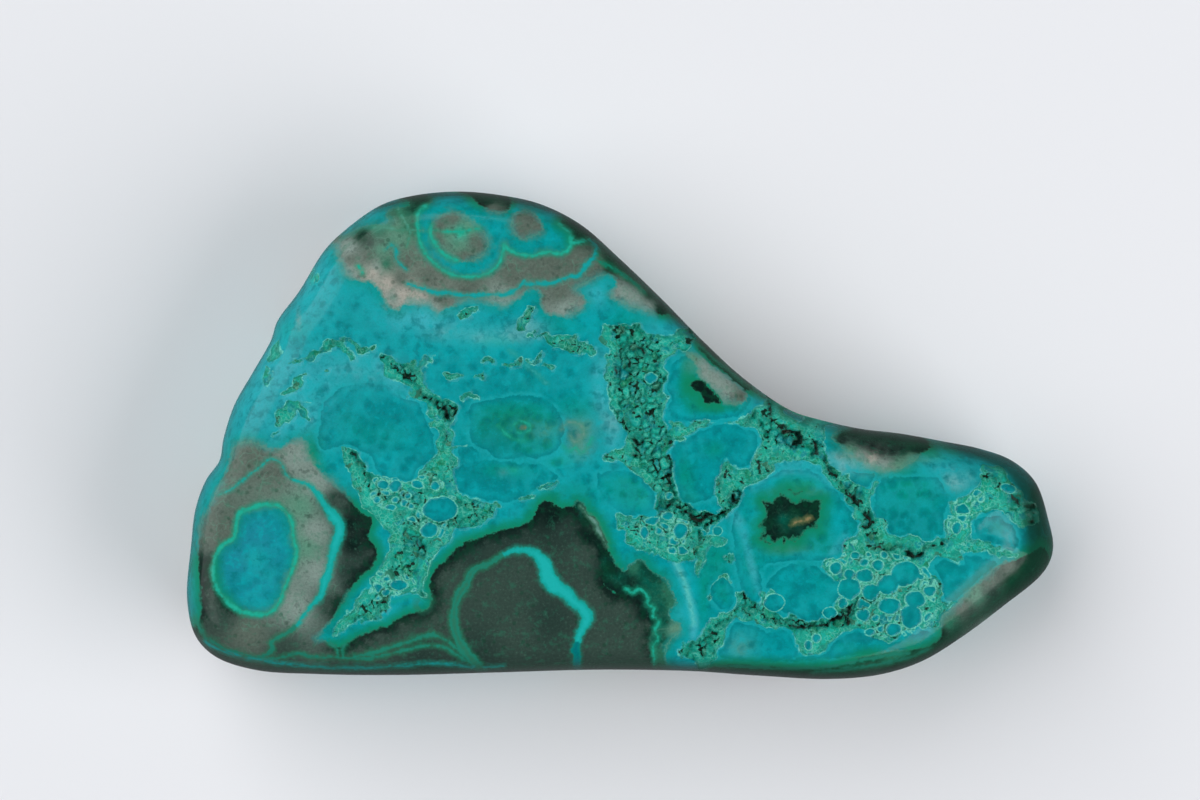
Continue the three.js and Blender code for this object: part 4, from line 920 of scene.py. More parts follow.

# Narrow crevices, their dark inside painted shade: rows of x, y and half width.
GAPS = {
    "root_head": [[-33.3, -2.3, 0.2], [-32.5, -3.4, 0.3], [-31.9, -4.4, 0.16], [-30.9, -5.6, 0.08]],
    "root_mouth": [[-26, -13.3, 0.16], [-25.2, -13.8, 0.28], [-24.4, -14, 0.2], [-23.5, -13.5, 0.1]],
    "root_slit": [
        [-24.4, -14.6, 0.1], [-25.3, -15.8, 0.16], [-25.5, -17, 0.14], [-25.3, -18.6, 0.1],
        [-24.9, -19.5, 0.16], [-24.5, -20.3, 0.08],
    ],
    "root_knot": [[-20.9, -7.9, 0.16], [-20.2, -8.4, 0.3], [-19.7, -8.6, 0.1]],
    "root_hook": [[-28.5, -8.6, 0.08], [-27.9, -9.6, 0.14], [-28.1, -10.8, 0.06]],
    "heart_edge": [[-28.8, 9.9, 0.08], [-27.6, 9, 0.14], [-26.2, 8.8, 0.14], [-25.6, 8.2, 0.1]],
    "heart_core": [
        [-26.9, 7.6, 0.12], [-26.4, 6.8, 0.22], [-25.6, 5.8, 0.16], [-24.4, 4.8, 0.18], [-23, 4.1, 0.18],
    ],
    "heart_pocket": [[-22.2, 3.4, 0.2], [-21.6, 2.8, 0.32], [-21.4, 2.3, 0.2]],
    "heart_foot": [[-22, 0.6, 0.16], [-21.8, -0.6, 0.14]],
    "saddle_edge": [
        [6, -3, 0.14], [6.2, -4.4, 0.2], [6, -5.8, 0.24], [6.3, -7, 0.3], [6.9, -8.1, 0.34],
        [6, -8.7, 0.3], [4.9, -9.7, 0.2],
    ],
    "saddle_floor": [
        [7.9, -9.8, 0.24], [8.8, -10.5, 0.36], [9.6, -10.9, 0.4], [10.3, -10.7, 0.34], [10.9, -10, 0.26],
        [12.2, -9.7, 0.24], [13.4, -9.8, 0.2],
    ],
    "saddle_pit": [[13.9, -7.6, 0.4], [14.3, -8.2, 0.4], [14.6, -7.7, 0.3]],
    "stem": [[9.8, -12.2, 0.1], [9.5, -14, 0.1], [9.6, -15.4, 0.16], [9.8, -16.6, 0.12]],
    "keel_left": [
        [13.8, -22.9, 0.2], [12.8, -23.7, 0.3], [11.6, -24.4, 0.14], [11, -25.8, 0.14], [10.4, -27, 0.1],
    ],
    "keel_tooth": [[14.7, -19.4, 0.12], [15, -20.3, 0.22]],
    "keel_middle": [[15.6, -22.4, 0.14], [16.4, -22, 0.26], [17.6, -22.2, 0.14]],
    "keel_floor": [
        [18.4, -23.3, 0.14], [20.4, -23.6, 0.14], [22.2, -24.2, 0.32], [24, -24.1, 0.22],
        [25.6, -24, 0.3], [26.8, -23.2, 0.26], [28.2, -22.4, 0.16],
    ],
    "keel_shelf": [[28.2, -23.8, 0.14], [28.4, -22.6, 0.26], [28.8, -21.2, 0.22], [29.6, -19.9, 0.12]],
    "neck_upper": [[25.4, -3.4, 0.14], [26.4, -4.9, 0.16], [27.6, -6.2, 0.14], [28.4, -6.8, 0.2]],
    "neck_pit": [[29.2, -7.5, 0.3], [29.5, -8.1, 0.4]],
    "neck_lower": [[30.2, -9.3, 0.12], [30.8, -10.4, 0.2], [31, -11.6, 0.1]],
    "neck_foot": [
        [31.8, -14, 0.14], [32.8, -14.4, 0.16], [34.2, -14.2, 0.1], [35.8, -14.7, 0.14],
        [36.8, -15.1, 0.22], [38, -14.5, 0.12], [39.4, -13.9, 0.06],
    ],
    "cave": [[20.5, 0.5, 0.4], [21.6, 0.4, 0.5], [22.5, 0, 0.7], [22.6, -0.7, 0.5], [21.6, -0.8, 0.4]],
    "cave_side": [[24.4, -0.9, 0.2], [24.5, -2, 0.24], [24.1, -2.6, 0.14]],
    "cave_step": [[20.9, -1.2, 0.12], [21.9, -1.3, 0.26], [23, -1, 0.16]],
    "notch": [[17.4, 4.6, 0.1], [18.4, 4.3, 0.16], [18.6, 2.6, 0.36], [18, 2.3, 0.16]],
    "notch_dash_one": [[16.6, 2.4, 0.12], [17, 1.9, 0.14]],
    "notch_dash_two": [[15.4, 2.2, 0.1], [15.9, 1.8, 0.14]],
    "breccia_top": [[1.2, 11.5, 0.2], [1.9, 10.8, 0.26], [2.8, 10.6, 0.16]],
    "breccia_mid": [[0.4, 9.9, 0.14], [1.2, 9.6, 0.14], [1, 8.4, 0.1]],
    "breccia_right": [[4.6, 9.6, 0.12], [5.2, 9, 0.2], [4.6, 8.8, 0.1]],
    "breccia_pit": [[4.9, 3.3, 0.2], [5.3, 2.8, 0.3], [4.9, 2.6, 0.16]],
    "breccia_low": [[1.2, -0.6, 0.14], [2, -0.9, 0.2], [2.8, -0.6, 0.1]],
    "breccia_left": [[-0.9, 11.8, 0.1], [-0.7, 10.6, 0.14], [-0.9, 9.2, 0.1], [-0.6, 7.6, 0.12]],
    "breccia_foot": [[0.4, -1.8, 0.1], [1.4, -2.2, 0.14], [2.4, -2.2, 0.1]],
    "tail_top": [[45.6, -4.4, 0.14], [46.4, -4.9, 0.24], [47.2, -5.6, 0.2]],
    "tail_side": [[48, -6.2, 0.2], [49, -7.6, 0.26], [50.4, -8.4, 0.3], [52.2, -8.9, 0.4]],
    "tail_foot": [[49, -9.2, 0.12], [50.2, -10.6, 0.18], [52, -10.8, 0.2]],
    "tail_dash": [[37.9, -17.4, 0.1], [38.8, -18.2, 0.14]],
    "arc_dash": [[-36, 11.5, 0.06], [-35.2, 12, 0.1], [-34, 12.1, 0.08]],
    "arc_dash_two": [[-32.8, 10.9, 0.08], [-31.8, 10.8, 0.1], [-30.7, 11.2, 0.06]],
    "breast_fleck": [[-10.9, 12.8, 0.08], [-10.2, 12.4, 0.12]],
    "breast_fleck_low": [[-9.2, 12.6, 0.1], [-8.7, 12.1, 0.16]],
}

# Rounded cells with pale outlines, lying in the veins: x, y and half sizes along x and y.
BUBBLES = [
    (26.9, -16.7, 0.8, 0.75), (28.6, -17.4, 0.7, 0.6), (32.1, -16.2, 0.8, 0.75), (30.4, -17.6, 1.1, 0.8),
    (31.3, -19.6, 1.1, 1), (27.8, -21, 0.6, 0.6), (26.2, -22.2, 0.9, 0.8), (30.3, -22.5, 0.95, 0.8),
    (33.4, -18.7, 1.4, 1.3), (35.6, -17.3, 1.9, 1.6), (33.6, -21.4, 1.5, 0.95), (36.8, -20.5, 1.3, 0.95),
    (36.3, -22.7, 1.4, 1.5), (38.6, -19.4, 0.8, 0.65), (34.1, -24.3, 0.95, 0.8), (31.9, -22.9, 0.5, 0.4),
    (31.2, -24.6, 0.7, 0.5), (30.4, -15.9, 0.6, 0.5), (29.3, -15, 0.55, 0.5), (32.9, -14.9, 0.5, 0.4),
    (24.4, -25.3, 0.6, 0.55), (23.5, -26.3, 0.6, 0.6), (28.6, -19.2, 1.5, 1.3), (37.6, -17.8, 0.5, 0.4),
    (-27.8, -18.7, 1.15, 0.72), (-29.4, -19.7, 0.55, 0.45), (-29.7, -6.2, 0.72, 0.6),
    (-28.2, -6.4, 0.8, 0.7), (-24, -11.9, 1.2, 0.9), (-22.6, -9.3, 2.2, 1.6), (-26.7, -7.6, 0.45, 0.4),
    (-28.2, -8.1, 0.4, 0.35), (-23.2, -6.4, 0.6, 0.6), (-30.6, -8.1, 0.5, 0.4), (-26.3, -8.9, 0.4, 0.35),
    (3.8, 7.2, 0.75, 0.65), (12, -12, 0.6, 0.62), (42, -11.6, 0.6, 0.7), (48.5, -6.5, 1, 0.75),
    (5.8, -10, 0.7, 0.5), (3, -12.2, 0.6, 0.8), (7.4, -12, 0.9, 1), (19.1, -20.9, 1.3, 1.1),
    (6, -7.6, 0.5, 0.4),
]

BUBBLE_CLEARANCE = 0.22

# Soft patches of colour in the blue ground, the pale ones partly painted sheen, and painted shade at the
# tail's tip:
# x, y, reach along x, reach along y, colour, strength.
PATCHES = [
    (33, -12, 17, 12, SEA, 0.45), (-33.5, 16, 5, 4, CYAN, 0.5), (-2.2, 5.4, 1, 3.4, MIST_AND_SHEEN, 0.6),
    (17.6, -11.2, 0.9, 1.4, FERN, 0.6), (-1.6, -7.6, 2.4, 1.8, SEA, 0.5),
    (-13.5, -4.5, 3.5, 1.5, SEA, 0.3), (-45, 10, 5, 9, HAZE_AND_SHEEN, 0.2), (-46, 2, 3, 6, HAZE_AND_SHEEN, 0.3),
    (-38, 18, 3, 5, HAZE_AND_SHEEN, 0.5), (-43.5, 10.3, 0.6, 0.8, PALE_MINT, 0.7),
    (-44.3, 7, 0.5, 0.7, PALE_MINT, 0.6), (-38.4, 19.6, 0.6, 0.8, MINT, 0.6),
    (-40.3, 14.4, 0.25, 1.2, ROSE, 0.7), (-39.6, 4.6, 1.6, 1.6, MINT, 0.35),
    (-46.4, -1, 2, 1.2, SEA, 0.6), (-33.9, 13.8, 1, 0.9, DEEP, 0.7), (-31.3, 13.6, 0.8, 0.7, DEEP, 0.6),
    (-33.2, 15.8, 0.9, 0.8, DEEP, 0.5), (-29.2, 13.4, 0.9, 0.8, DEEP, 0.5),
    (-27, 12, 0.9, 0.7, DEEP, 0.5), (-24, 11.4, 1.2, 0.7, TEAL, 0.6), (-22.4, 9.2, 1.1, 0.9, DEEP, 0.6),
    (-20.4, 9.6, 0.9, 0.8, DEEP, 0.5), (-24.6, 8.6, 0.8, 0.7, DEEP, 0.5),
    (-18.4, 8.8, 0.9, 0.7, DEEP, 0.5), (-20.6, 5.6, 1.2, 0.9, TEAL, 0.7), (-17, 5.8, 1, 0.7, DEEP, 0.4),
    (-46, -15.4, 6, 8, LAKE, 1), (-45.6, -15.4, 1.4, 1.2, MINT, 0.3), (-44.4, -17.4, 2, 0.8, MINT, 0.15),
    (-47.6, -18.4, 1.6, 1, TEAL, 0.5), (-36.6, 8.4, 6, 2.4, HAZE_AND_SHEEN, 0.6), (-40.6, 4.6, 4, 5, HAZE_AND_SHEEN, 0.8),
    (-31, 8.2, 4, 1.6, MIST_AND_SHEEN, 0.3), (-33.8, 14.6, 2, 1.4, TEAL, 0.5), (-31.6, 14.6, 1, 0.9, DEEP, 0.4),
    (-29, 0, 4, 2, SEA, 0.5), (-34, 1, 2, 3, SEA, 0.4), (-33, 3.6, 2.4, 1.4, DEEP, 0.4),
    (-38.4, -2.6, 1.4, 3, GREEN, 0.8), (-27, 2.6, 3, 1, TEAL, 0.6), (-41.6, 13, 3, 1.4, MINT, 0.2),
    (-24.6, 14.6, 5.5, 2, HAZE_AND_SHEEN, 1), (-16.6, 12.4, 4.4, 0.9, MIST_AND_SHEEN, 0.75), (-15.6, 11.7, 2, 0.8, MINT, 0.4),
    (-21, 12.8, 2, 0.8, MIST_AND_SHEEN, 0.5), (-13, 7, 4, 2, BLUE, 0.4), (-11.6, 6.2, 2, 1.2, SEA, 0.7),
    (-10, 6, 6, 2.4, TEAL, 0.6), (-14.6, 6.4, 0.9, 0.9, DEEP, 0.45), (-11.6, 13.4, 2, 1, MIST_AND_SHEEN, 0.5),
    (-7, 13.4, 3, 0.8, SEA, 0.5), (-3, 17.8, 2, 1.6, HAZE_AND_SHEEN, 0.8), (1, 14.4, 3, 1.2, SEA, 0.7),
    (5, 13.4, 2, 2, HAZE_AND_SHEEN, 0.5), (-3.6, 8, 1.6, 1.4, TEAL, 0.5), (-13.6, 0.8, 4.6, 2.4, GREEN, 1),
    (-13, 0.9, 2.4, 1.3, FERN, 0.6), (-12.2, 1, 1.4, 0.9, MOSS, 1), (-12, 0.2, 2.1, 0.6, FERN, 0.9),
    (-12.4, 1.7, 1.6, 0.4, FERN, 0.7), (-9.6, 0.4, 1.4, 1, LICHEN, 0.45), (-15, -1.4, 4, 1.6, DEEP, 0.5),
    (-16.6, 0.8, 2, 2, DEEP, 0.4), (-10.4, -1.6, 1.6, 1, GREEN, 0.5), (-14.4, -4.4, 3, 0.9, SEA, 0.9),
    (-13.4, -4.3, 0.7, 0.5, MINT, 0.45), (-14.7, -4.7, 0.5, 0.4, TAUPE, 0.5),
    (-17, -6.4, 3, 1.4, DEEP, 0.4), (-4.6, 0.6, 1.6, 1.8, LICHEN, 0.85), (-6.8, 1.2, 1, 1, TAUPE, 0.5),
    (-5.6, -0.2, 0.9, 0.8, OLIVE, 0.7), (-5, -1.6, 1.8, 1.4, LICHEN, 0.7), (-7, -2.8, 1.2, 1, MINT, 0.3),
    (-5.2, -0.1, 0.4, 0.35, ROSE, 0.5), (-5.2, 3.4, 3, 1.6, SEA, 0.7), (-8.4, -3.4, 1.4, 0.7, GREEN, 0.7),
    (-2.6, 7, 1, 3, HAZE_AND_SHEEN, 0.9), (-2, 4.6, 1, 2, HAZE_AND_SHEEN, 0.9), (-0.9, 1.4, 1, 2, MIST_AND_SHEEN, 0.6),
    (-1, -2, 1, 1.6, HAZE_AND_SHEEN, 0.8), (-3, -1, 1.2, 3, TEAL, 0.4), (1.4, -7.2, 2, 1.4, GREEN, 0.5),
    (3, -8, 1, 1, MINT, 0.25), (0.4, -5.8, 1, 0.8, GREEN, 0.5), (-6, -6.6, 3, 1, SEA, 0.7),
    (-9, -7.4, 3, 0.8, GREEN, 0.5), (-1.4, -11, 1.2, 4, BLUE, 0.7), (11.6, -1.8, 1.4, 1, SEA, 0.9),
    (8, -5.4, 1.4, 3, SEA, 0.9), (8.6, -8, 1.2, 0.8, GREEN, 0.5), (14.6, -3.2, 0.9, 0.8, DEEP, 0.4),
    (10.6, -4.6, 1, 1.6, BLUE, 0.7), (6.8, 7.6, 0.8, 1.6, BLUE, 0.9), (7.2, 3.2, 1.4, 1.2, BLUE, 0.9),
    (8.2, 7, 1, 2, GREEN, 0.8), (9.6, 4.2, 1.6, 1.4, GREEN, 0.9), (12.4, 3.4, 2, 0.6, GREEN, 0.7),
    (13.6, 2.6, 1.6, 0.5, BLUE, 0.8), (16, 4.2, 1.2, 1, HAZE_AND_SHEEN, 0.7), (9, 8.8, 1, 1, LICHEN, 0.5),
    (21.3, -10.4, 4.4, 3.7, GREEN, 1), (21.2, -10.4, 3.6, 2.9, FOREST, 0.7),
    (22.4, -6.2, 2.6, 0.6, MINT, 0.35), (22, -7.2, 3, 0.6, LICHEN, 0.6), (16.6, -12, 1.4, 4, BLUE, 0.8),
    (27.6, -10.8, 1.4, 3.4, BLUE, 0.9), (22, -15, 4, 0.7, BLUE, 0.6), (18, -5.8, 2, 0.7, BLUE, 0.7),
    (26.6, -8.6, 0.9, 1, SEA, 0.4), (20.6, -14.2, 2.4, 0.6, LICHEN, 0.4), (15.8, -18, 1, 2, BLUE, 0.8),
    (16.2, -16.4, 1.2, 3, SEA, 0.4), (12, -15.6, 2, 3, SEA, 0.9), (11.6, -25.4, 1, 1, SEA, 0.7),
    (21.1, -17.3, 0.8, 0.7, TEAL, 0.9), (22.3, -19, 1.1, 1, DEEP, 0.7),
    (23.3, -17.5, 0.7, 0.7, TEAL, 0.9), (21.4, -21.4, 0.9, 0.8, TEAL, 0.8), (24, -22, 1, 0.9, TEAL, 0.6),
    (19.6, -18, 0.5, 0.5, TEAL, 0.7), (26.6, -20, 0.6, 0.6, TEAL, 0.5),
    (19.6, -20.9, 0.6, 0.6, CYAN, 0.4), (14.8, -26.6, 1.4, 1.6, LICHEN, 0.5),
    (16.6, -26, 1, 2, MOSS, 0.3), (18.6, -26.9, 0.3, 0.25, INK, 0.8), (30.4, -25.6, 2.6, 0.7, DEEP, 0.9),
    (28, -26.4, 2, 0.6, SEA, 0.6), (36.2, -22.8, 1.2, 1.1, DEEP, 0.7), (37.4, -25, 1.4, 0.7, BLUE, 0.8),
    (29, -3.6, 3, 1.2, MIST_AND_SHEEN, 0.9), (28.8, -2.6, 2.4, 0.5, ROSE, 0.8), (32, -3.1, 2, 0.4, ROSE, 0.85),
    (34.4, -3.7, 1.6, 0.6, ROSE, 0.6), (33, -4.4, 2, 0.7, LICHEN, 0.7), (37.8, -3, 1.8, 0.7, LICHEN, 0.7),
    (39.8, -2.8, 1.4, 0.6, MINT, 0.35), (40, -4.4, 2.6, 1, HAZE_AND_SHEEN, 0.8), (42, -5.8, 2, 1.1, MIST_AND_SHEEN, 0.75),
    (36.6, -6.6, 3, 2.4, SEA, 1), (36.4, -6.2, 1.8, 1.4, GREEN, 0.6), (36, -10.8, 2.8, 1.6, DEEP, 0.5),
    (42.4, -2.2, 1.6, 0.8, GREEN, 0.7), (44.6, -2.8, 1.6, 0.9, DEEP, 0.9),
    (47.2, -11.6, 1.2, 0.8, SEA, 0.6), (48.6, -12.6, 0.8, 1.4, MIST_AND_SHEEN, 0.5),
    # The dark patches at the tail's tip, from (51, -12.6) to (52.6, -7.6), are painted shade.
    (48.4, -14.2, 0.8, 0.6, ROSE, 0.35), (41.6, -18.2, 1.8, 1.2, BLUE, 0.6), (51, -12.6, 1.2, 3, DEEP, 1),
    (53, -12.6, 1.8, 5.5, INK, 1), (50.6, -5.2, 1.8, 2.4, DEEP, 0.9), (52.6, -7.6, 1.6, 3, INK, 1),
    (-50.4, -4, 1, 4, CYAN, 0.6), (-53.2, -14, 0.6, 8, CYAN, 0.5), (-32.8, -20.4, 2.4, 3, BLUE, 0.6),
    (-29, -12, 1.6, 3, BLUE, 0.7), (-21.6, -14, 2.4, 1.4, BLUE, 0.7), (8, -26.8, 1.6, 1, BLUE, 0.6),
    (7.4, -19, 1, 3, BLUE, 0.8), (10.4, -19.4, 0.9, 4, SEA, 0.9), (7.4, -22.6, 0.8, 1.6, HAZE_AND_SHEEN, 0.6),
    (-37.6, -8.6, 2, 3, SEA, 0.6),
]

# Soft pale streaks of tone with painted sheen, and painted highlights on low ridges of the polish:
# a colour, a strength and rows of x, y and half width.
SHEEN_STREAKS = {
    "eye_arc": (HAZE_AND_SHEEN, 0.85, [
        [16.6, -6.6, 0.3], [17.8, -5.2, 0.5], [19.4, -4.3, 0.7], [21.4, -4, 0.7], [23.4, -4.1, 0.7],
        [25.2, -4.9, 0.6], [26.4, -6, 0.4],
    ]),
    "eye_side": (HAZE_AND_SHEEN, 0.6, [[28, -12.6, 0.3], [27.4, -13.6, 0.5], [26.4, -14.8, 0.3]]),
    # Painted highlight where a low ridge of the polish catches the light.
    "eye_ridge": (HAZE_AND_SHEEN, 0.75, [
        [14, -10, 0.6], [14.9, -11.2, 0.5], [15.6, -13.2, 0.3], [16.1, -15.4, 0.3], [16.7, -17.6, 0.3],
        [17.2, -19.4, 0.2],
    ]),
    # The next two streaks are a painted highlight, with its paler core, where a low ridge of the polish
    # catches the light.
    "keel_ridge": (HAZE_AND_SHEEN, 1, [
        [6.7, -15.8, 0.2], [7.6, -17.6, 0.35], [8.3, -19.6, 0.3], [8.8, -21.6, 0.35], [9.1, -23.6, 0.4],
        [9, -25.2, 0.2],
    ]),
    "keel_ridge_high": (PALE_MINT, 0.6, [
        [6.9, -16, 0.1], [7.9, -18.2, 0.16], [8.7, -21.2, 0.14], [9.1, -23.6, 0.1],
    ]),
    "heart_haze": (HAZE_AND_SHEEN, 0.5, [[-32.6, 9.6, 0.8], [-29.6, 8.4, 0.8], [-28, 6, 0.8], [-26, 4.6, 0.6]]),
    "heart_outline": (HAZE_AND_SHEEN, 0.35, [
        [-43.8, -1.2, 0.5], [-41.6, 1.2, 0.5], [-38.6, 2, 0.6], [-36.6, 4.6, 0.7], [-36, 7.6, 0.8],
    ]),
}


# Painted shade and painted dark reflection towards the stone's edge: rows of x, y and half width.
PAINTED_EDGE_SHADE = [
    [[-31, 28.6, 0.1], [-24, 30.4, 0.3], [-16, 30.2, 0.3], [-8, 28.3, 0.4]],
    [
        [-8, 28.3, 0.4], [0, 22.1, 0.5], [5.2, 17.2, 0.7], [10, 12.3, 0.6], [15.2, 7.5, 0.4],
        [21.2, 3.3, 0.2],
    ],
    [
        [21.2, 3.3, 0.3], [30, 1, 0.7], [40, -0.6, 0.8], [48.9, -3, 1.2], [52.2, -6.4, 2],
        [53.8, -10.4, 2.8],
    ],
    [
        [53.8, -10.4, 2.8], [54.3, -14.4, 3.2], [52.8, -17.4, 2.4], [47.6, -21.8, 1.2], [42.4, -25.6, 1],
        [37.4, -28.6, 0.8],
    ],
    [
        [37.4, -28.6, 0.8], [32.4, -30.2, 0.8], [26, -30.8, 1.1], [17.4, -30.4, 1], [8, -29.8, 0.8],
        [-2.6, -29.6, 0.5],
    ],
    [
        [-2.6, -29.6, 0.5], [-15, -29.9, 0.5], [-30, -30.2, 0.6], [-40, -30, 0.5], [-46, -29.4, 0.4],
        [-51, -27.8, 0.2],
    ],
]


def tinted(points, tints, power=3.0):
    """Blend of the tints' colours, each strongest near its own place."""
    total = np.zeros((len(points), 3))
    weights = np.zeros(len(points))
    for x, y, colour in tints:
        weight = 1 / (np.hypot(points[:, 0] - x, points[:, 1] - y) + 0.25) ** power
        total += weight[:, None] * paint(colour)
        weights += weight
    return total / weights[:, None]


def ground(points, base):
    """The blue-green ground between the markings: a base colour with soft patches, some of them painted
    sheen and painted shade.
    """
    colour = base.copy()
    for x, y, reach_x, reach_y, patch, strength in PATCHES:
        away = np.hypot((points[:, 0] - x) / reach_x, (points[:, 1] - y) / reach_y)
        share = strength * np.exp(-away**2)
        colour += share[:, None] * (paint(patch) - colour)
    return colour


def with_sheen_streaks(points, colour):
    """The colour with the soft pale streaks laid over it: pale tone with painted sheen, and painted
    highlights on low ridges.
    """
    for patch, strength, rows in SHEEN_STREAKS.values():
        share = strength * smoothstep(into_line(points, rows), -0.5, 0.25)
        colour = colour + share[:, None] * (paint(patch) - colour)
    return colour


def cells(points, size, seed):
    """Irregular cells about size across: distance to the nearest seam, and a number for each cell."""
    place = points / size
    home = np.floor(place)
    first = np.full(len(points), 9.0)
    second = np.full(len(points), 9.0)
    value = np.zeros(len(points))
    for dx in (-1, 0, 1):
        for dy in (-1, 0, 1):
            cell = home + (dx, dy)
            middle = cell + np.stack([lattice(cell, seed), lattice(cell, seed + 1)], axis=1)
            distance = np.hypot(*(place - middle).T)
            closer = distance < first
            second = np.where(closer, first, np.minimum(second, distance))
            value = np.where(closer, lattice(cell, seed + 2), value)
            first = np.where(closer, distance, first)
    return (second - first) * size / 2, value


def into_bubbles(points):
    """How far each point lies inside the nearest rounded cell."""
    inside = np.full(len(points), -FAR)
    for x, y, half_x, half_y in BUBBLES:
        offset = points - (x, y)
        share = np.hypot(offset[:, 0] / half_x, offset[:, 1] / half_y)
        inside = np.maximum(inside, (1 - share) * min(half_x, half_y))
    return inside


def back_fields(points):
    """Markings of the unseen back: bands and blue eyes that a seeded noise lays out."""
    wander = points + 1.5 * np.stack([rough_noise(points, 9, 301), rough_noise(points, 9, 311)], axis=1)
    height = rough_noise(wander[:, :2], 21, 321, 2)
    zone = (height - 0.28) * 9
    tones = rough_noise(wander[:, :2], 12, 331, 2)
    tint = paint(OLIVE) + smoothstep(tones, -0.2, 0.7)[:, None] * (paint(TAUPE) - paint(OLIVE))
    tint += smoothstep(-tones, 0.1, 0.8)[:, None] * (paint(INK) - tint)
    line = 0.22 - np.minimum(np.abs(height - 0.52), np.abs(height - 0.8)) * 9
    core = smoothstep(rough_noise(wander[:, :2], 11, 341, 2), -0.5, 0.6)[:, None]
    base = paint(DEEP) + core * (paint(BLUE) - paint(DEEP))
    green = smoothstep(rough_noise(wander[:, :2], 16, 351, 2), 0.2, 0.8)[:, None]
    rough = 0.3 - np.abs(rough_noise(wander[:, :2], 17, 361, 3)) * 6
    return {
        "ground": base + 0.8 * green * (paint(SEA) - base), "zone": zone, "tint": tint, "line": line,
        "vein": np.where(zone < -1.2, rough, -1.0),
    }


def lay_areas(areas, places, points, zone, tint):
    """Lays areas over a zone: each point takes its tint from the area that it lies deepest in."""
    for area in areas.values():
        inside = into_area(places, area["outline"])
        first = inside > zone
        tint[first] = tinted(points[first], area["tints"])
        zone = np.maximum(zone, inside)
    return zone


def zone_fields(points, stray):
    """The malachite zones: how deep a point lies in one, its tint, how pale that is, and the windows."""
    tint = np.tile(paint(OLIVE), (len(points), 1))
    zone = lay_areas(ZONES, points + stray, points, np.full(len(points), -FAR), tint)
    for rows in RAYS:
        inside = into_line(points + stray / 2, rows, smooth=False)
        tint[inside > zone] = paint(INK)
        zone = np.maximum(zone, inside)
    window = np.full(len(points), -FAR)
    for outline in WINDOWS.values():
        window = np.maximum(window, into_area(points + stray / 3, outline))
    zone = lay_areas(DISCS, points + stray / 2, points, np.minimum(zone, -window), tint)
    pale = smoothstep(tint @ (0.2126, 0.7152, 0.0722), 0.05, 0.12)
    pale = np.maximum(pale, 0.2 * smoothstep(into_area(points, ZONES["main_eye"]["outline"]), -1.6, -0.6))
    return {"zone": zone, "tint": tint, "pale": pale, "window": window}


def line_fields(points, stray):
    """The thin lines: how far inside one a point lies, and its colour."""
    line = np.full(len(points), -FAR)
    line_tint = np.tile(paint(CYAN), (len(points), 1))
    for colour, rows in LINES.values():
        inside = into_line(points + stray / 2, rows)
        first = inside > line
        line_tint[first] = paint(colour)
        line = np.maximum(line, inside)
    return {"line": line, "line_tint": line_tint}


def vein_fields(points, stray):
    """The rough veins, the crevices in them and the seams between their crumbs."""
    ragged = points + stray
    swell = 0.32 * noise(points, 2.1, 61) + 0.26 * noise(points, 0.9, 62) + 0.14 * noise(points, 0.45, 63)
    vein = np.full(len(points), -FAR)
    openness = np.full(len(points), LEAST_OPEN)
    depth = np.full(len(points), LEAST_DEPTH)
    for outline in MATRIX.values():
        vein = np.maximum(vein, into_area(ragged + 1.2 * stray, outline) + 0.35 * swell)
    for how_open, how_deep, rows in VEINS.values():
        width = np.mean([row[2] for row in rows])
        inside = into_line(ragged + 1.6 * stray, rows)
        inside += swell * np.clip(0.35 + width, 0.4, 1.6)
        share = smoothstep(inside, -0.3, 0.4)
        openness = np.maximum(openness, how_open * share)
        depth = np.maximum(depth, how_deep * share)
        vein = np.maximum(vein, inside)
    gap = np.full(len(points), -FAR)
    for rows in GAPS.values():
        gap = np.maximum(gap, into_line(ragged + stray, rows))
    gap += 0.7 * swell - GAP_NARROWING
    seam, chunk = cells(points + 2.4 * stray, CRUMB_SIZE, 90)
    return {"vein": vein, "open": openness, "depth": depth, "gap": gap, "seam": seam, "chunk": chunk}


def into_cells(points, stray, drawn):
    """How far inside a rounded cell a point lies: the drawn ones, and small ones packed between them."""
    cell = drawn
    for k, (size, seam, outline) in enumerate(CELL_FIELDS.values()):
        room, kept = cells(points + 1.2 * stray, size, 400 + 10 * k)
        packed = np.minimum(np.where(kept > 0.3, room - seam, -seam), into_area(points, outline))
        cell = np.maximum(cell, np.minimum(packed, -BUBBLE_CLEARANCE - drawn))
    return cell


def ground_fields(points, stray):
    """The smooth pools and rounded cells, and the colour of the ground with their hearts, painted sheen
    and painted shade in it.
    """
    drawn = into_bubbles(points + 0.8 * stray)
    pool = drawn
    core = np.tile(paint(BLUE), (len(points), 1))
    for colour, outline in POOLS.values():
        inside = into_area(points + 1.4 * stray, outline)
        first = inside > pool
        core[first] = paint(colour)
        pool = np.maximum(pool, inside)
    cell = into_cells(points, stray, drawn)
    pool = np.maximum(pool, cell)
    in_pool = 0.75 * smoothstep(pool, -0.2, 1.8)[:, None]
    base = np.tile(paint(BLUE), (len(points), 1))
    base += in_pool * (core - base)
    return {"ground": with_sheen_streaks(points, ground(points, base)), "pool": pool, "cell": cell}


def face_fields(points):
    """The markings at places on the face: distances into them in millimetres, and colours."""
    stray = STRAY * np.stack([rough_noise(points, 1.2, 5), rough_noise(points, 1.2, 25)], axis=1)
    # Painted shade towards the stone's edge.
    shade = np.zeros(len(points))
    for rows in PAINTED_EDGE_SHADE:
        shade = np.maximum(shade, smoothstep(into_line(points, rows), -1.4, 0.4))
    return {
        **ground_fields(points, stray), **zone_fields(points, stray), **line_fields(points, stray),
        **vein_fields(points, stray), "shade": shade,
    }


# The skin

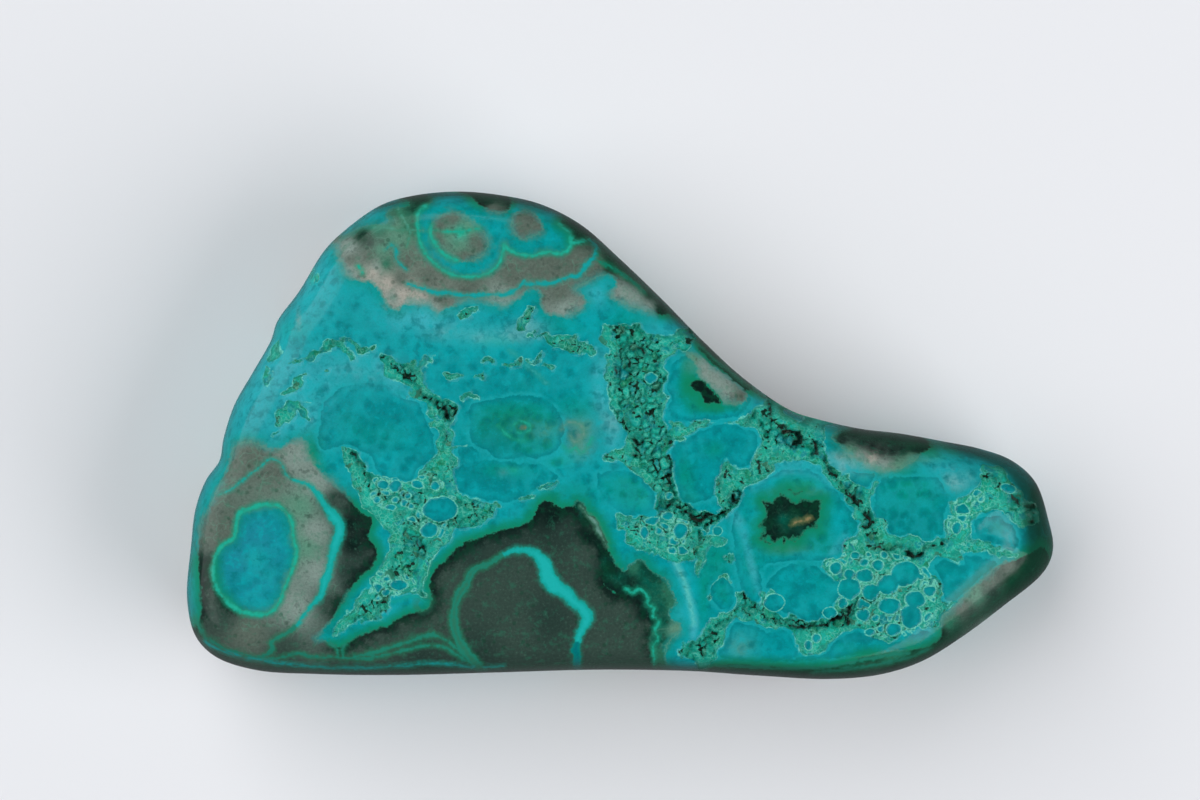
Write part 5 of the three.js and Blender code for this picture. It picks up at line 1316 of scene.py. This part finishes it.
def outline_curve(count):
    """The outline as the solid has it, evenly spaced, with the shoulder's width as third column."""
    low, high = (np.array(corner[:2]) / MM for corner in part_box("stone"))
    curve = spaced(smooth_curve(OUTLINE, True, 24), count)
    middle = (curve[:, :2].min(axis=0) + curve[:, :2].max(axis=0)) / 2
    size = curve[:, :2].max(axis=0) - curve[:, :2].min(axis=0)
    curve[:, :2] = (curve[:, :2] - middle) * (high - low) / size + (low + high) / 2
    return curve


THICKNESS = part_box("stone")[1][2] / MM
RIM = outline_curve(RIM_POINTS)
WIDEST = RIM[:, 2].max() + BACK_ROUNDING  # no shoulder reaches further in


def edge_at(points):
    """Distance to the outline and the shoulder's width where it is nearest."""
    best = np.full(len(points), WIDEST)
    shoulder = np.ones(len(points))
    for chosen, distance, share, a, b in stretches(points, RIM[::2], True, WIDEST):
        first = distance < best[chosen]
        closer = chosen[first]
        best[closer] = distance[first]
        shoulder[closer] = (a[2] + (b[2] - a[2]) * share)[first]
    return best, shoulder


def rise(distance, width):
    """How much of its height a rounded shoulder has climbed at a distance from the outline."""
    u = np.clip(distance / width, 0, 1)
    return (1 - (1 - u) ** SHOULDER_POWER) ** (1 / SHOULDER_POWER)


def girdle_height(x, y):
    return GIRDLE + GIRDLE_SWAY * np.sin(x / 14 + 0.6) * np.cos(y / 16 - 0.4)


def plateau(x, y):
    drop = TAIL_DROP * smoothstep(x, 0, 54) + HUMP_DROP * smoothstep(y, -10, 30.4)
    return THICKNESS - drop


def face_height(points, distance, shoulder):
    x, y = points[:, 0], points[:, 1]
    low = girdle_height(x, y)
    return low + (plateau(x, y) - low) * rise(distance, shoulder)


def back_height(points, distance, shoulder):
    low = girdle_height(points[:, 0], points[:, 1])
    return low * (1 - rise(distance, shoulder + BACK_ROUNDING))


def rim_normals():
    """Unit steps from the outline towards the stone's inside."""
    along = np.roll(RIM, -1, axis=0)[:, :2] - np.roll(RIM, 1, axis=0)[:, :2]
    along /= np.linalg.norm(along, axis=1)[:, None]
    return np.stack([along[:, 1], -along[:, 0]], axis=1)


def hexagonal(step):
    """Points of a hexagonal grid over the stone's box."""
    low, high = RIM[:, :2].min(axis=0), RIM[:, :2].max(axis=0)
    rows = np.arange(low[1], high[1], step * math.sqrt(3) / 2)
    columns = np.arange(low[0], high[0], step)
    shift = step / 2
    points = []
    for k, y in enumerate(rows):
        points.append(np.column_stack([columns + (k % 2) * shift, np.full(len(columns), y)]))
    return np.concatenate(points)


def seen(points, heights):
    """Where the camera sees a point of the stone, on the level of the girdle."""
    reach = CAMERA_HEIGHT / (CAMERA_HEIGHT - (heights - GIRDLE))
    return np.array(AIM) + (points - np.array(AIM)) * reach[:, None]


def wall_ring(share, width_growth, height):
    """A ring of the wall, from the outline at share 0 to the wall's inner end at 1."""
    width = RIM[:, 2] + width_growth
    climbed = share * rise(WALL_REACH, width)
    inward = width * (1 - (1 - climbed**SHOULDER_POWER) ** (1 / SHOULDER_POWER))
    flat = RIM[:, :2] + rim_normals() * inward[:, None]
    return np.column_stack([flat, height(flat, inward, RIM[:, 2])])


def inner_points(step, margin):
    """Grid points that lie more than margin inside the outline."""
    grid = hexagonal(step)
    return grid[into_area(grid, RIM[::2, :2], smooth=False) > margin]


def fine_places(points):
    """True near the edge of a marking."""
    distance, shoulder = edge_at(points)
    fields = face_fields(seen(points, face_height(points, distance, shoulder)))
    edges = (np.abs(fields["zone"]) < FINE_NEAR / 2) | (fields["line"] > -FINE_NEAR / 2)
    edges |= (np.abs(fields["pool"]) < FINE_NEAR / 2) | (fields["gap"] > -FINE_NEAR / 2)
    return edges | (fields["vein"] > -FINE_NEAR / 4)


def skin_mesh():
    """Vertices in millimetres and triangles of the whole skin, face first."""
    rings = [wall_ring(k / WALL_RINGS, 0, face_height) for k in range(WALL_RINGS, -1, -1)]
    below = [wall_ring(k / BACK_RINGS, BACK_ROUNDING, back_height) for k in range(1, BACK_RINGS + 1)]
    band = rings + below
    vertices = [np.concatenate(band)]
    count = len(RIM)
    triangles = []
    for k in range(len(band) - 1):
        a = k * count + np.arange(count)
        b = k * count + (np.arange(count) + 1) % count
        triangles.append(np.stack([a, b, b + count], axis=1))
        triangles.append(np.stack([a, b + count, a + count], axis=1))

    coarse = inner_points(COARSE_STEP, WALL_REACH + COARSE_STEP / 2)
    fine = inner_points(FINE_STEP, WALL_REACH + FINE_STEP / 2)
    coarse = coarse[~fine_places(coarse)]
    fine = fine[fine_places(fine)]
    start = len(band) * count
    face, face_triangles = filled(rings[0][:, :2], np.concatenate([coarse, fine]), 0, start, False)
    distance, shoulder = edge_at(face)
    vertices.append(np.column_stack([face, face_height(face, distance, shoulder)]))
    triangles.append(face_triangles)

    start += len(face)
    hollow = inner_points(BACK_STEP, WALL_REACH + BACK_STEP / 2)
    back, back_triangles = filled(below[-1][:, :2], hollow, (len(band) - 1) * count, start, True)
    distance, shoulder = edge_at(back)
    vertices.append(np.column_stack([back, back_height(back, distance, shoulder)]))
    triangles.append(back_triangles)
    return np.concatenate(vertices), np.concatenate(triangles)


def filled(ring, points, ring_start, point_start, facing_down):
    """Triangles between a ring and the points inside it, which keep their own numbers."""
    count = len(ring)
    edges = [(i, (i + 1) % count) for i in range(count)]
    places = [Vector(p) for p in np.concatenate([ring, points])]
    placed, _, faces, origins, _, _ = delaunay_2d_cdt(places, edges, [], 1, 1e-7)
    source = np.array([origin[0] for origin in origins])
    faces = source[np.array(faces)]
    number = np.arange(count + len(points))
    number = np.where(number < count, ring_start + number, point_start + number - count)
    faces = number[faces]
    return points, faces[:, ::-1] if facing_down else faces


def store(mesh, name, values):
    """Keeps one number or colour per vertex on the mesh."""
    if values.ndim == 1:
        layer = mesh.attributes.new(name, "FLOAT", "POINT")
        layer.data.foreach_set("value", values.astype(np.float32))
    else:
        layer = mesh.attributes.new(name, "FLOAT_COLOR", "POINT")
        opaque = np.column_stack([values, np.ones(len(values))]).astype(np.float32)
        layer.data.foreach_set("color", opaque.ravel())


def sunk(vertices, fields):
    """How deep the face lies below its polish: shallow crumbs, deeper seams between them, and crevices."""
    rough = smoothstep(fields["vein"], -0.05, 0.2) * (fields["pool"] < 0)
    crumbs = CRUMB_DEPTH + CRUMB_UNEVENNESS * fields["chunk"] * fields["open"]
    seams = SEAM_DEPTH * fields["depth"] * smoothstep(fields["seam"], 0.22, 0.02) * (0.3 + fields["open"])
    crevice = CREVICE_DEPTH * smoothstep(fields["gap"], -0.12, 0.3)
    on_face = smoothstep(vertices[:, 2], GIRDLE + 1, GIRDLE + 5)
    return (rough * (crumbs + seams) + crevice) * on_face


def pattern_places(vertices):
    """Where each vertex lies in the pattern: as seen on the face, and unrolled below the girdle."""
    places = seen(vertices[:, :2], vertices[:, 2])
    count = len(RIM)
    for k in range(WALL_RINGS + 1, WALL_RINGS + BACK_RINGS + 1):
        ring = slice(k * count, (k + 1) * count)
        fallen = girdle_height(RIM[:, 0], RIM[:, 1]) - vertices[ring, 2]
        places[ring] = seen(RIM[:, :2], np.full(count, GIRDLE)) - rim_normals() * fallen[:, None]
    lowered = smoothstep(vertices[:, 2], GIRDLE + 10, GIRDLE - 1)[:, None]
    wander = np.stack([rough_noise(vertices, WALL_LUMP, seed) for seed in (371, 381)], axis=1)
    return places + WALL_WANDER * lowered * wander


def build_skin():
    """The skin's mesh, with its veins sunk and the markings kept on its vertices."""
    vertices, triangles = skin_mesh()
    fields = face_fields(pattern_places(vertices))
    vertices[:, 2] -= sunk(vertices, fields)
    below = smoothstep(girdle_height(vertices[:, 0], vertices[:, 1]) - vertices[:, 2], 1.5, 6.0)
    for name, values in back_fields(vertices[:, :2]).items():
        share = below if values.ndim == 1 else below[:, None]
        fields[name] = fields[name] + share * (values - fields[name])
    for name in ("gap", "pool", "window", "cell"):
        fields[name] = fields[name] + below * (-FAR - fields[name])
    fields["shade"] = fields["shade"] * (1 - below)

    mesh = bpy.data.meshes.new("polished_skin")
    mesh.from_pydata((vertices * MM).tolist(), [], triangles.tolist())
    mesh.polygons.foreach_set("use_smooth", [True] * len(mesh.polygons))
    for name, values in fields.items():
        store(mesh, name, values)
    mesh.update()
    skin = bpy.data.objects.new("polished_skin", mesh)
    bpy.context.collection.objects.link(skin)
    return skin


# The material

class Graph:
    """Wires shader nodes by short calls."""

    def __init__(self, name):
        self.material = bpy.data.materials.new(name)
        self.material.use_nodes = True
        self.tree = self.material.node_tree
        self.tree.nodes.clear()

    def add(self, kind, inputs=None, **settings):
        node = self.tree.nodes.new(kind)
        for key, value in settings.items():
            setattr(node, key, value)
        for key, value in (inputs or {}).items():
            self.put(node.inputs[key], value)
        return node

    def put(self, socket, value):
        if isinstance(value, bpy.types.NodeSocket):
            self.tree.links.new(value, socket)
        elif isinstance(value, (tuple, list, np.ndarray)) and len(value) == 3 and socket.type == "RGBA":
            socket.default_value = (*value, 1)
        else:
            socket.default_value = value

    def number(self, name):
        return self.add("ShaderNodeAttribute", attribute_name=name).outputs["Fac"]

    def colour(self, name):
        return self.add("ShaderNodeAttribute", attribute_name=name).outputs["Color"]

    def math(self, operation, a, b=0.0):
        return self.add("ShaderNodeMath", {0: a, 1: b}, operation=operation).outputs[0]

    def vector(self, operation, inputs):
        return self.add("ShaderNodeVectorMath", inputs, operation=operation).outputs[0]

    def times(self, *factors):
        product = factors[0]
        for factor in factors[1:]:
            product = self.math("MULTIPLY", product, factor)
        return product

    def plus(self, a, b):
        return self.math("ADD", a, b)

    def minus(self, a, b):
        return self.math("SUBTRACT", a, b)

    def size(self, value):
        return self.math("ABSOLUTE", value)

    def step(self, value, low, high, to_low=0.0, to_high=1.0):
        """Smooth step from to_low at low to to_high at high."""
        node = self.add(
            "ShaderNodeMapRange",
            {"Value": value, "From Min": low, "From Max": high, "To Min": to_low, "To Max": to_high},
            interpolation_type="SMOOTHSTEP",
        )
        return node.outputs["Result"]

    def mix(self, share, a, b):
        """Two colours mixed, each a socket or a palette colour: a at share 0 and b at 1."""
        node = self.add("ShaderNodeMix", {"Factor": share}, data_type="RGBA")
        for place, colour in ((6, a), (7, b)):
            self.put(node.inputs[place], paint(colour) if isinstance(colour, tuple) else colour)
        return node.outputs[2]

    def noise(self, place, scale, detail=2.0, roughness=0.5, distortion=0.0):
        node = self.add("ShaderNodeTexNoise", {
            "Vector": place, "Scale": scale, "Detail": detail, "Roughness": roughness,
            "Distortion": distortion,
        })
        return node.outputs["Fac"]

    def cells(self, place, scale, feature="F1"):
        return self.add("ShaderNodeTexVoronoi", {"Vector": place, "Scale": scale}, feature=feature)

    def ramp(self, value, stops):
        """Colour by value from 0 to 1: stops are place and palette colour."""
        node = self.add("ShaderNodeValToRGB", {"Fac": value})
        elements = node.color_ramp.elements
        while len(elements) < len(stops):
            elements.new(0.5)
        for element, (place, colour) in zip(elements, stops):
            element.position = place
            element.color = (*paint(colour), 1)
        return node.outputs["Color"]


def places_in_mm(graph):
    """The stone's own coordinates, in millimetres."""
    own = graph.add("ShaderNodeTexCoord").outputs["Object"]
    return graph.vector("SCALE", {0: own, "Scale": 1 / MM})


def strayed(graph, place, scale, amount):
    """Places moved a little by noise, so that what is drawn there turns ragged."""
    wander = graph.add("ShaderNodeTexNoise", {"Vector": place, "Scale": scale, "Detail": 2.0})
    centred = graph.vector("SUBTRACT", {0: wander.outputs["Color"], 1: (0.5, 0.5, 0.5)})
    return graph.vector("ADD", {0: place, 1: graph.vector("SCALE", {0: centred, "Scale": amount})})


def ground_colour(graph, place, fray):
    """Chrysocolla: smooth pools with darker rims, soft clouds and faint round cells between them."""
    clouds = graph.noise(place, 0.4, 4.0, 0.6, 0.6)
    base = graph.colour("ground")
    parts = graph.add("ShaderNodeSeparateColor", {"Color": base}).outputs
    blue = graph.step(graph.minus(parts["Green"], parts["Blue"]), -0.02, 0.06, 1.0, 0.3)
    blue = graph.times(blue, graph.step(parts["Green"], 0.04, 0.2, 0.2, 1.0))
    colour = graph.mix(graph.times(blue, graph.step(clouds, 0.4, 0.7, 0.0, 0.4)), base, TEAL)
    light = graph.noise(strayed(graph, place, 0.5, 3.0), 0.23, 3.0)
    colour = graph.mix(graph.times(blue, graph.step(light, 0.5, 0.66, 0.0, 0.45)), colour, AQUA)
    patches = graph.noise(strayed(graph, place, 1.0, 0.8), 0.85, 3.0, 0.6)
    colour = graph.mix(graph.step(patches, 0.48, 0.7, 0.0, 0.6), colour, graph.mix(blue, FERN, DEEP))
    colour = graph.mix(graph.times(blue, graph.step(patches, 0.46, 0.3, 0.0, 0.5)), colour, AQUA)
    cell = graph.cells(strayed(graph, place, 0.9, 1.0), 0.62).outputs["Distance"]
    patchy = graph.step(graph.noise(place, 0.15), 0.42, 0.58)
    ring = graph.times(graph.step(cell, 0.3, 0.62), patchy)
    colour = graph.mix(graph.times(ring, 0.4), colour, CYAN)
    heart = graph.times(graph.step(cell, 0.38, 0.16), patchy)
    colour = graph.mix(graph.times(heart, 0.45), colour, DEEP)

    wander = graph.times(graph.minus(graph.noise(place, 0.7, 3.0), 0.5), 0.8)
    pool = graph.plus(graph.number("pool"), graph.plus(graph.times(fray, 0.8), wander))
    broken = graph.step(graph.noise(place, 0.45, 3.0), 0.36, 0.52, 0.2, 1.0)
    halo = graph.times(graph.step(pool, -0.7, -0.05), graph.step(pool, 0.12, -0.05))
    halo = graph.times(halo, broken)
    colour = graph.mix(graph.times(halo, 0.65), colour, CYAN)
    rim = graph.times(graph.step(pool, 0.0, 0.15), graph.step(pool, 0.9, 0.15))
    rim = graph.times(rim, broken)
    colour = graph.mix(graph.times(rim, 0.5), colour, DEEP)
    grain = graph.noise(place, 4.5, 3.0, 0.7)
    colour = graph.mix(graph.step(grain, 0.42, 0.75, 0.0, 0.3), colour, SEA)
    return graph.mix(graph.step(grain, 0.5, 0.2, 0.0, 0.3), colour, AQUA)


def zone_colour(graph, place, zone, pale, finer):
    """Malachite zones: the fill, with fine grain and a rim that is dark or pale."""
    grain = graph.noise(place, 3.0, 5.0, 0.7)
    fill = graph.mix(graph.step(grain, 0.35, 0.75, 0.0, 0.3), graph.colour("tint"), INK)
    fill = graph.mix(graph.step(grain, 0.45, 0.25, 0.0, 0.25), fill, LICHEN)
    spots = graph.cells(place, 0.75).outputs["Distance"]
    fill = graph.mix(graph.step(spots, 0.26, 0.12, 0.0, 0.4), fill, FOREST)
    mould = graph.noise(place, 0.8, 5.0, 0.7)
    fill = graph.mix(graph.step(mould, 0.5, 0.7, 0.0, 0.4), fill, MOSS)
    fill = graph.mix(graph.times(graph.step(mould, 0.46, 0.34, 0.0, 0.5), pale), fill, OLIVE)
    veinlet = graph.cells(strayed(graph, place, 0.6, 1.6), 0.5, "DISTANCE_TO_EDGE").outputs["Distance"]
    veinlet = graph.times(graph.step(veinlet, 0.05, 0.01), graph.step(graph.noise(place, 0.3), 0.5, 0.6))
    fill = graph.mix(graph.times(veinlet, graph.times(pale, 0.3)), fill, LICHEN)
    near = graph.step(mould, 0.35, 0.65, 1.0, 2.6)
    dark = graph.step(graph.math("DIVIDE", zone, near), 1.0, 0.1)
    dark = graph.times(dark, graph.step(pale, 0.0, 1.0, 0.9, 0.0))
    fill = graph.mix(dark, fill, INK)
    blotch = graph.times(graph.step(graph.noise(place, 1.1, 3.0), 0.46, 0.56), dark)
    return graph.mix(graph.times(blotch, graph.step(finer, 0.3, 0.6, 0.2, 0.7)), fill, FOREST)


def rubble_colour(graph, place, fray, finer):
    """The crumbs of a rough vein, with painted shade in the seams between them, and how far a point lies
    in one of those seams.
    """
    crumb = graph.ramp(graph.number("chunk"), [
        (0.0, JADE), (0.2, SEA), (0.4, JADE), (0.55, GREEN), (0.65, JADE), (0.8, TEAL), (0.9, JADE),
        (0.97, MOSS),
    ])
    mottled = graph.noise(place, 2.8, 5.0, 0.75, 1.0)
    crumb = graph.mix(graph.step(mottled, 0.46, 0.32, 0.0, 0.6), crumb, FERN)
    crumb = graph.mix(graph.step(mottled, 0.54, 0.7, 0.0, 0.55), crumb, MINT)
    shaded = graph.noise(place, 0.42, 3.0, 0.6)
    crumb = graph.mix(graph.step(shaded, 0.52, 0.68, 0.0, 0.25), crumb, FOREST)
    small = graph.cells(strayed(graph, place, 2.0, 0.5), 1.9, "DISTANCE_TO_EDGE").outputs["Distance"]
    vivid = graph.times(graph.step(small, 0.12, 0.03), graph.step(graph.noise(place, 0.9), 0.36, 0.54))
    crumb = graph.mix(graph.times(vivid, 0.36), crumb, PALE_MINT)
    # Crumbs darken to fern near the vein's edge, and towards crevices as painted shade.
    border = graph.step(graph.number("vein"), 0.45, 0.05, 0.0, 0.45)
    border = graph.math("MAXIMUM", border, graph.step(graph.number("gap"), -0.9, 0.0, 0.0, 0.65))
    border = graph.times(border, graph.step(mottled, 0.4, 0.56, 0.3, 1.0))
    crumb = graph.mix(border, crumb, FERN)
    seam = graph.plus(graph.number("seam"), graph.times(fray, 0.3))
    broken = graph.step(graph.noise(place, 0.9, 3.0), 0.4, 0.66, -0.08, 0.17)
    past = graph.minus(seam, graph.times(graph.number("open"), broken))
    outline = graph.times(graph.step(past, 0.12, 0.03), graph.step(finer, 0.42, 0.62, 0.0, 0.55))
    crumb = graph.mix(outline, crumb, MINT)
    # The open seams between crumbs are painted dark, ink to forest green: painted shade of the hollows.
    cracks = graph.step(past, 0.03, -0.05)
    dark = graph.mix(graph.step(mottled, 0.4, 0.6), INK, FOREST)
    return graph.mix(cracks, crumb, dark), cracks


def with_zones(graph, colour, place, fray, finer):
    """The colour with the malachite zones laid over it, green around them and soft where they are pale."""
    zone = graph.plus(graph.number("zone"), graph.times(fray, 1.4))
    pale = graph.number("pale")
    green_rim = graph.times(graph.step(zone, -1.8, -0.1), graph.step(pale, 0.0, 1.0, 0.9, 0.3))
    colour = graph.mix(green_rim, colour, GREEN)
    soft = graph.times(pale, graph.step(graph.noise(place, 0.3), 0.4, 0.6, 0.25, 1.0))
    inside = graph.step(zone, graph.minus(-0.05, soft), graph.plus(0.07, soft))
    colour = graph.mix(inside, colour, zone_colour(graph, place, zone, pale, finer))
    border = graph.step(graph.size(zone), 0.2, 0.03)
    border = graph.times(border, graph.step(finer, 0.35, 0.6, 0.0, 0.45))
    return graph.mix(border, colour, graph.mix(pale, MOSS, LICHEN))


def with_windows(graph, colour, fray):
    """The colour with the rims of the windows in the zones: deep inside and mossy outside."""
    window = graph.plus(graph.number("window"), fray)
    inner = graph.times(graph.step(window, 0.0, 0.1), graph.step(window, 1.4, 0.1))
    colour = graph.mix(graph.times(inner, 0.2), colour, DEEP)
    outer = graph.times(graph.step(window, -1.0, -0.05), graph.step(window, 0.08, -0.05))
    return graph.mix(graph.times(outer, 0.45), colour, MOSS)


def with_lines(graph, colour, place, fray):
    """The colour with the bright thin lines and the faint glow around them."""
    wavy = graph.times(graph.minus(graph.noise(place, 0.9), 0.5), 0.5)
    line = graph.plus(graph.plus(graph.number("line"), fray), wavy)
    glow = graph.step(line, -0.6, 0.05, 0.0, 0.5)
    colour = graph.mix(glow, colour, graph.mix(0.7, graph.colour("line_tint"), GREEN))
    heart = graph.mix(graph.step(line, -0.02, 0.6, 0.5, 1.0), SEA, graph.colour("line_tint"))
    return graph.mix(graph.step(line, -0.18, 0.14), colour, heart)


def pale_banks(graph, place, pool, vein, outside, finer):
    """Where the pale hairline of crystals runs between a rough vein and what lies beside it."""
    shore = graph.step(graph.size(graph.plus(vein, 0.05)), 0.1, 0.02)
    bank = graph.times(graph.step(graph.size(pool), 0.1, 0.02), graph.step(vein, -0.3, 0.0))
    bank = graph.math("MAXIMUM", bank, graph.times(shore, outside))
    broken = graph.step(graph.noise(place, 0.8), 0.42, 0.64, 0.0, 0.75)
    return graph.times(bank, graph.times(broken, graph.step(finer, 0.36, 0.56, 0.2, 1.0)))


def cell_rings(graph, finer):
    """Where the pale ring of a rounded cell runs."""
    ring = graph.step(graph.size(graph.number("cell")), 0.1, 0.02)
    return graph.times(ring, graph.step(finer, 0.34, 0.56, 0.1, 0.7))


def crevice_shade_colour(graph, place, gap, finer):
    """The painted shade inside a crevice, with green and brown crystals deep in it."""
    pit = graph.mix(graph.step(finer, 0.38, 0.58, 0.0, 0.85), INK, FERN)
    pit = graph.mix(graph.step(graph.noise(place, 0.5), 0.5, 0.6, 0.0, 0.7), pit, BARK)
    return graph.mix(graph.step(gap, 0.0, 0.25), SLATE, pit)


def polished(graph, colour, rough, cracks, crevice, fine):
    """The shader: a polish that rough veins and crevices dull."""
    relief = graph.times(rough, graph.minus(1.0, cracks))
    bump = graph.add("ShaderNodeBump", {"Height": relief, "Strength": 0.4, "Distance": 0.0002})
    dull = graph.math("MAXIMUM", graph.times(rough, 0.3), graph.times(crevice, 0.4))
    return graph.add("ShaderNodeBsdfPrincipled", {
        "Base Color": colour, "Roughness": graph.plus(dull, graph.step(fine, 0.3, 0.7, 0.14, 0.22)),
        "Normal": bump.outputs[0], "IOR": 1.45, "Specular IOR Level": 0.2,
    })


def stone_material():
    """The stone's one material: ground, zones, lines, veins and crevices with painted shade in their
    hollows, each over the one before, then painted shade towards the edge.
    """
    graph = Graph("polished_chrysocolla")
    place = places_in_mm(graph)
    fine = graph.noise(place, 2.4, 3.0)
    finer = graph.noise(place, 6.0, 2.0)
    fray = graph.times(graph.minus(fine, 0.5), 0.5)
    pool = graph.plus(graph.number("pool"), graph.times(fray, 0.3))
    vein = graph.plus(graph.number("vein"), graph.times(fray, 0.6))
    gap = graph.plus(graph.number("gap"), graph.times(fray, 0.6))
    outside = graph.step(pool, 0.05, -0.05)
    rough = graph.times(graph.step(vein, -0.05, 0.06), outside)
    crevice = graph.times(graph.step(gap, -0.08, 0.1), outside)

    colour = with_zones(graph, ground_colour(graph, place, fray), place, fray, finer)
    colour = with_windows(graph, colour, fray)
    colour = with_lines(graph, colour, place, fray)
    rubble, cracks = rubble_colour(graph, place, fray, finer)
    colour = graph.mix(rough, colour, rubble)
    colour = graph.mix(pale_banks(graph, place, pool, vein, outside, finer), colour, PALE_MINT)
    colour = graph.mix(cell_rings(graph, finer), colour, PALE_MINT)
    # Painted shade in the crevices.
    colour = graph.mix(crevice, colour, crevice_shade_colour(graph, place, gap, finer))
    # Painted shade towards the edge: forest green, nearing ink where it is strongest.
    shade = graph.number("shade")
    edge_shade_colour = graph.mix(graph.step(shade, 0.75, 1.0, 0.0, 0.4), FOREST, INK)
    colour = graph.mix(graph.times(shade, 0.8), colour, edge_shade_colour)

    shader = polished(graph, colour, rough, cracks, crevice, fine)
    graph.add("ShaderNodeOutputMaterial", {"Surface": shader.outputs[0]})
    return graph.material


# The studio

def add_camera():
    camera = bpy.data.objects.new("camera", bpy.data.cameras.new("camera"))
    camera.data.lens = LENS
    camera.data.sensor_width = SENSOR
    camera.location = Vector((*AIM, GIRDLE + CAMERA_HEIGHT)) * MM
    camera.data.clip_start = 0.01
    bpy.context.collection.objects.link(camera)
    bpy.context.scene.camera = camera


def add_light(name, place, size, power):
    data = bpy.data.lights.new(name, "AREA")
    data.shape = "RECTANGLE"
    data.size, data.size_y = size
    data.energy = power
    light = bpy.data.objects.new(name, data)
    light.location = place
    light.rotation_euler = (Vector((0, 0, 0.02)) - Vector(place)).to_track_quat("-Z", "Y").to_euler()
    bpy.context.collection.objects.link(light)


def add_floor():
    mesh = bpy.data.meshes.new("floor")
    mesh.from_pydata([(-2, -2, 0), (2, -2, 0), (2, 2, 0), (-2, 2, 0)], [], [(0, 1, 2, 3)])
    floor = bpy.data.objects.new("floor", mesh)
    graph = Graph("pale_floor")
    shader = graph.add("ShaderNodeBsdfPrincipled", {"Base Color": (0.8, 0.81, 0.84), "Roughness": 0.6})
    graph.add("ShaderNodeOutputMaterial", {"Surface": shader.outputs[0]})
    mesh.materials.append(graph.material)
    bpy.context.collection.objects.link(floor)
    floor.visible_glossy = False  # the polish mirrors the dim studio instead of the pale floor


def add_world():
    world = bpy.data.worlds.new("studio")
    world.use_nodes = True
    background = world.node_tree.nodes["Background"]
    background.inputs["Color"].default_value = (0.9, 0.94, 1.0, 1)
    background.inputs["Strength"].default_value = 0.12
    bpy.context.scene.world = world


def add_studio():
    add_camera()
    add_light("window_left", (-0.7, 0.35, 0.6), (1.7, 1.7), 17.0)
    add_light("window_right", (0.7, -0.3, 0.5), (0.9, 0.9), 7.6)
    add_floor()
    add_world()
    bpy.context.scene.view_settings.view_transform = "Standard"


def dress_stone():
    skin = build_skin()
    skin.data.materials.append(stone_material())
    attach(skin, "root")
    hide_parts("stone")


add_studio()
dress_stone()
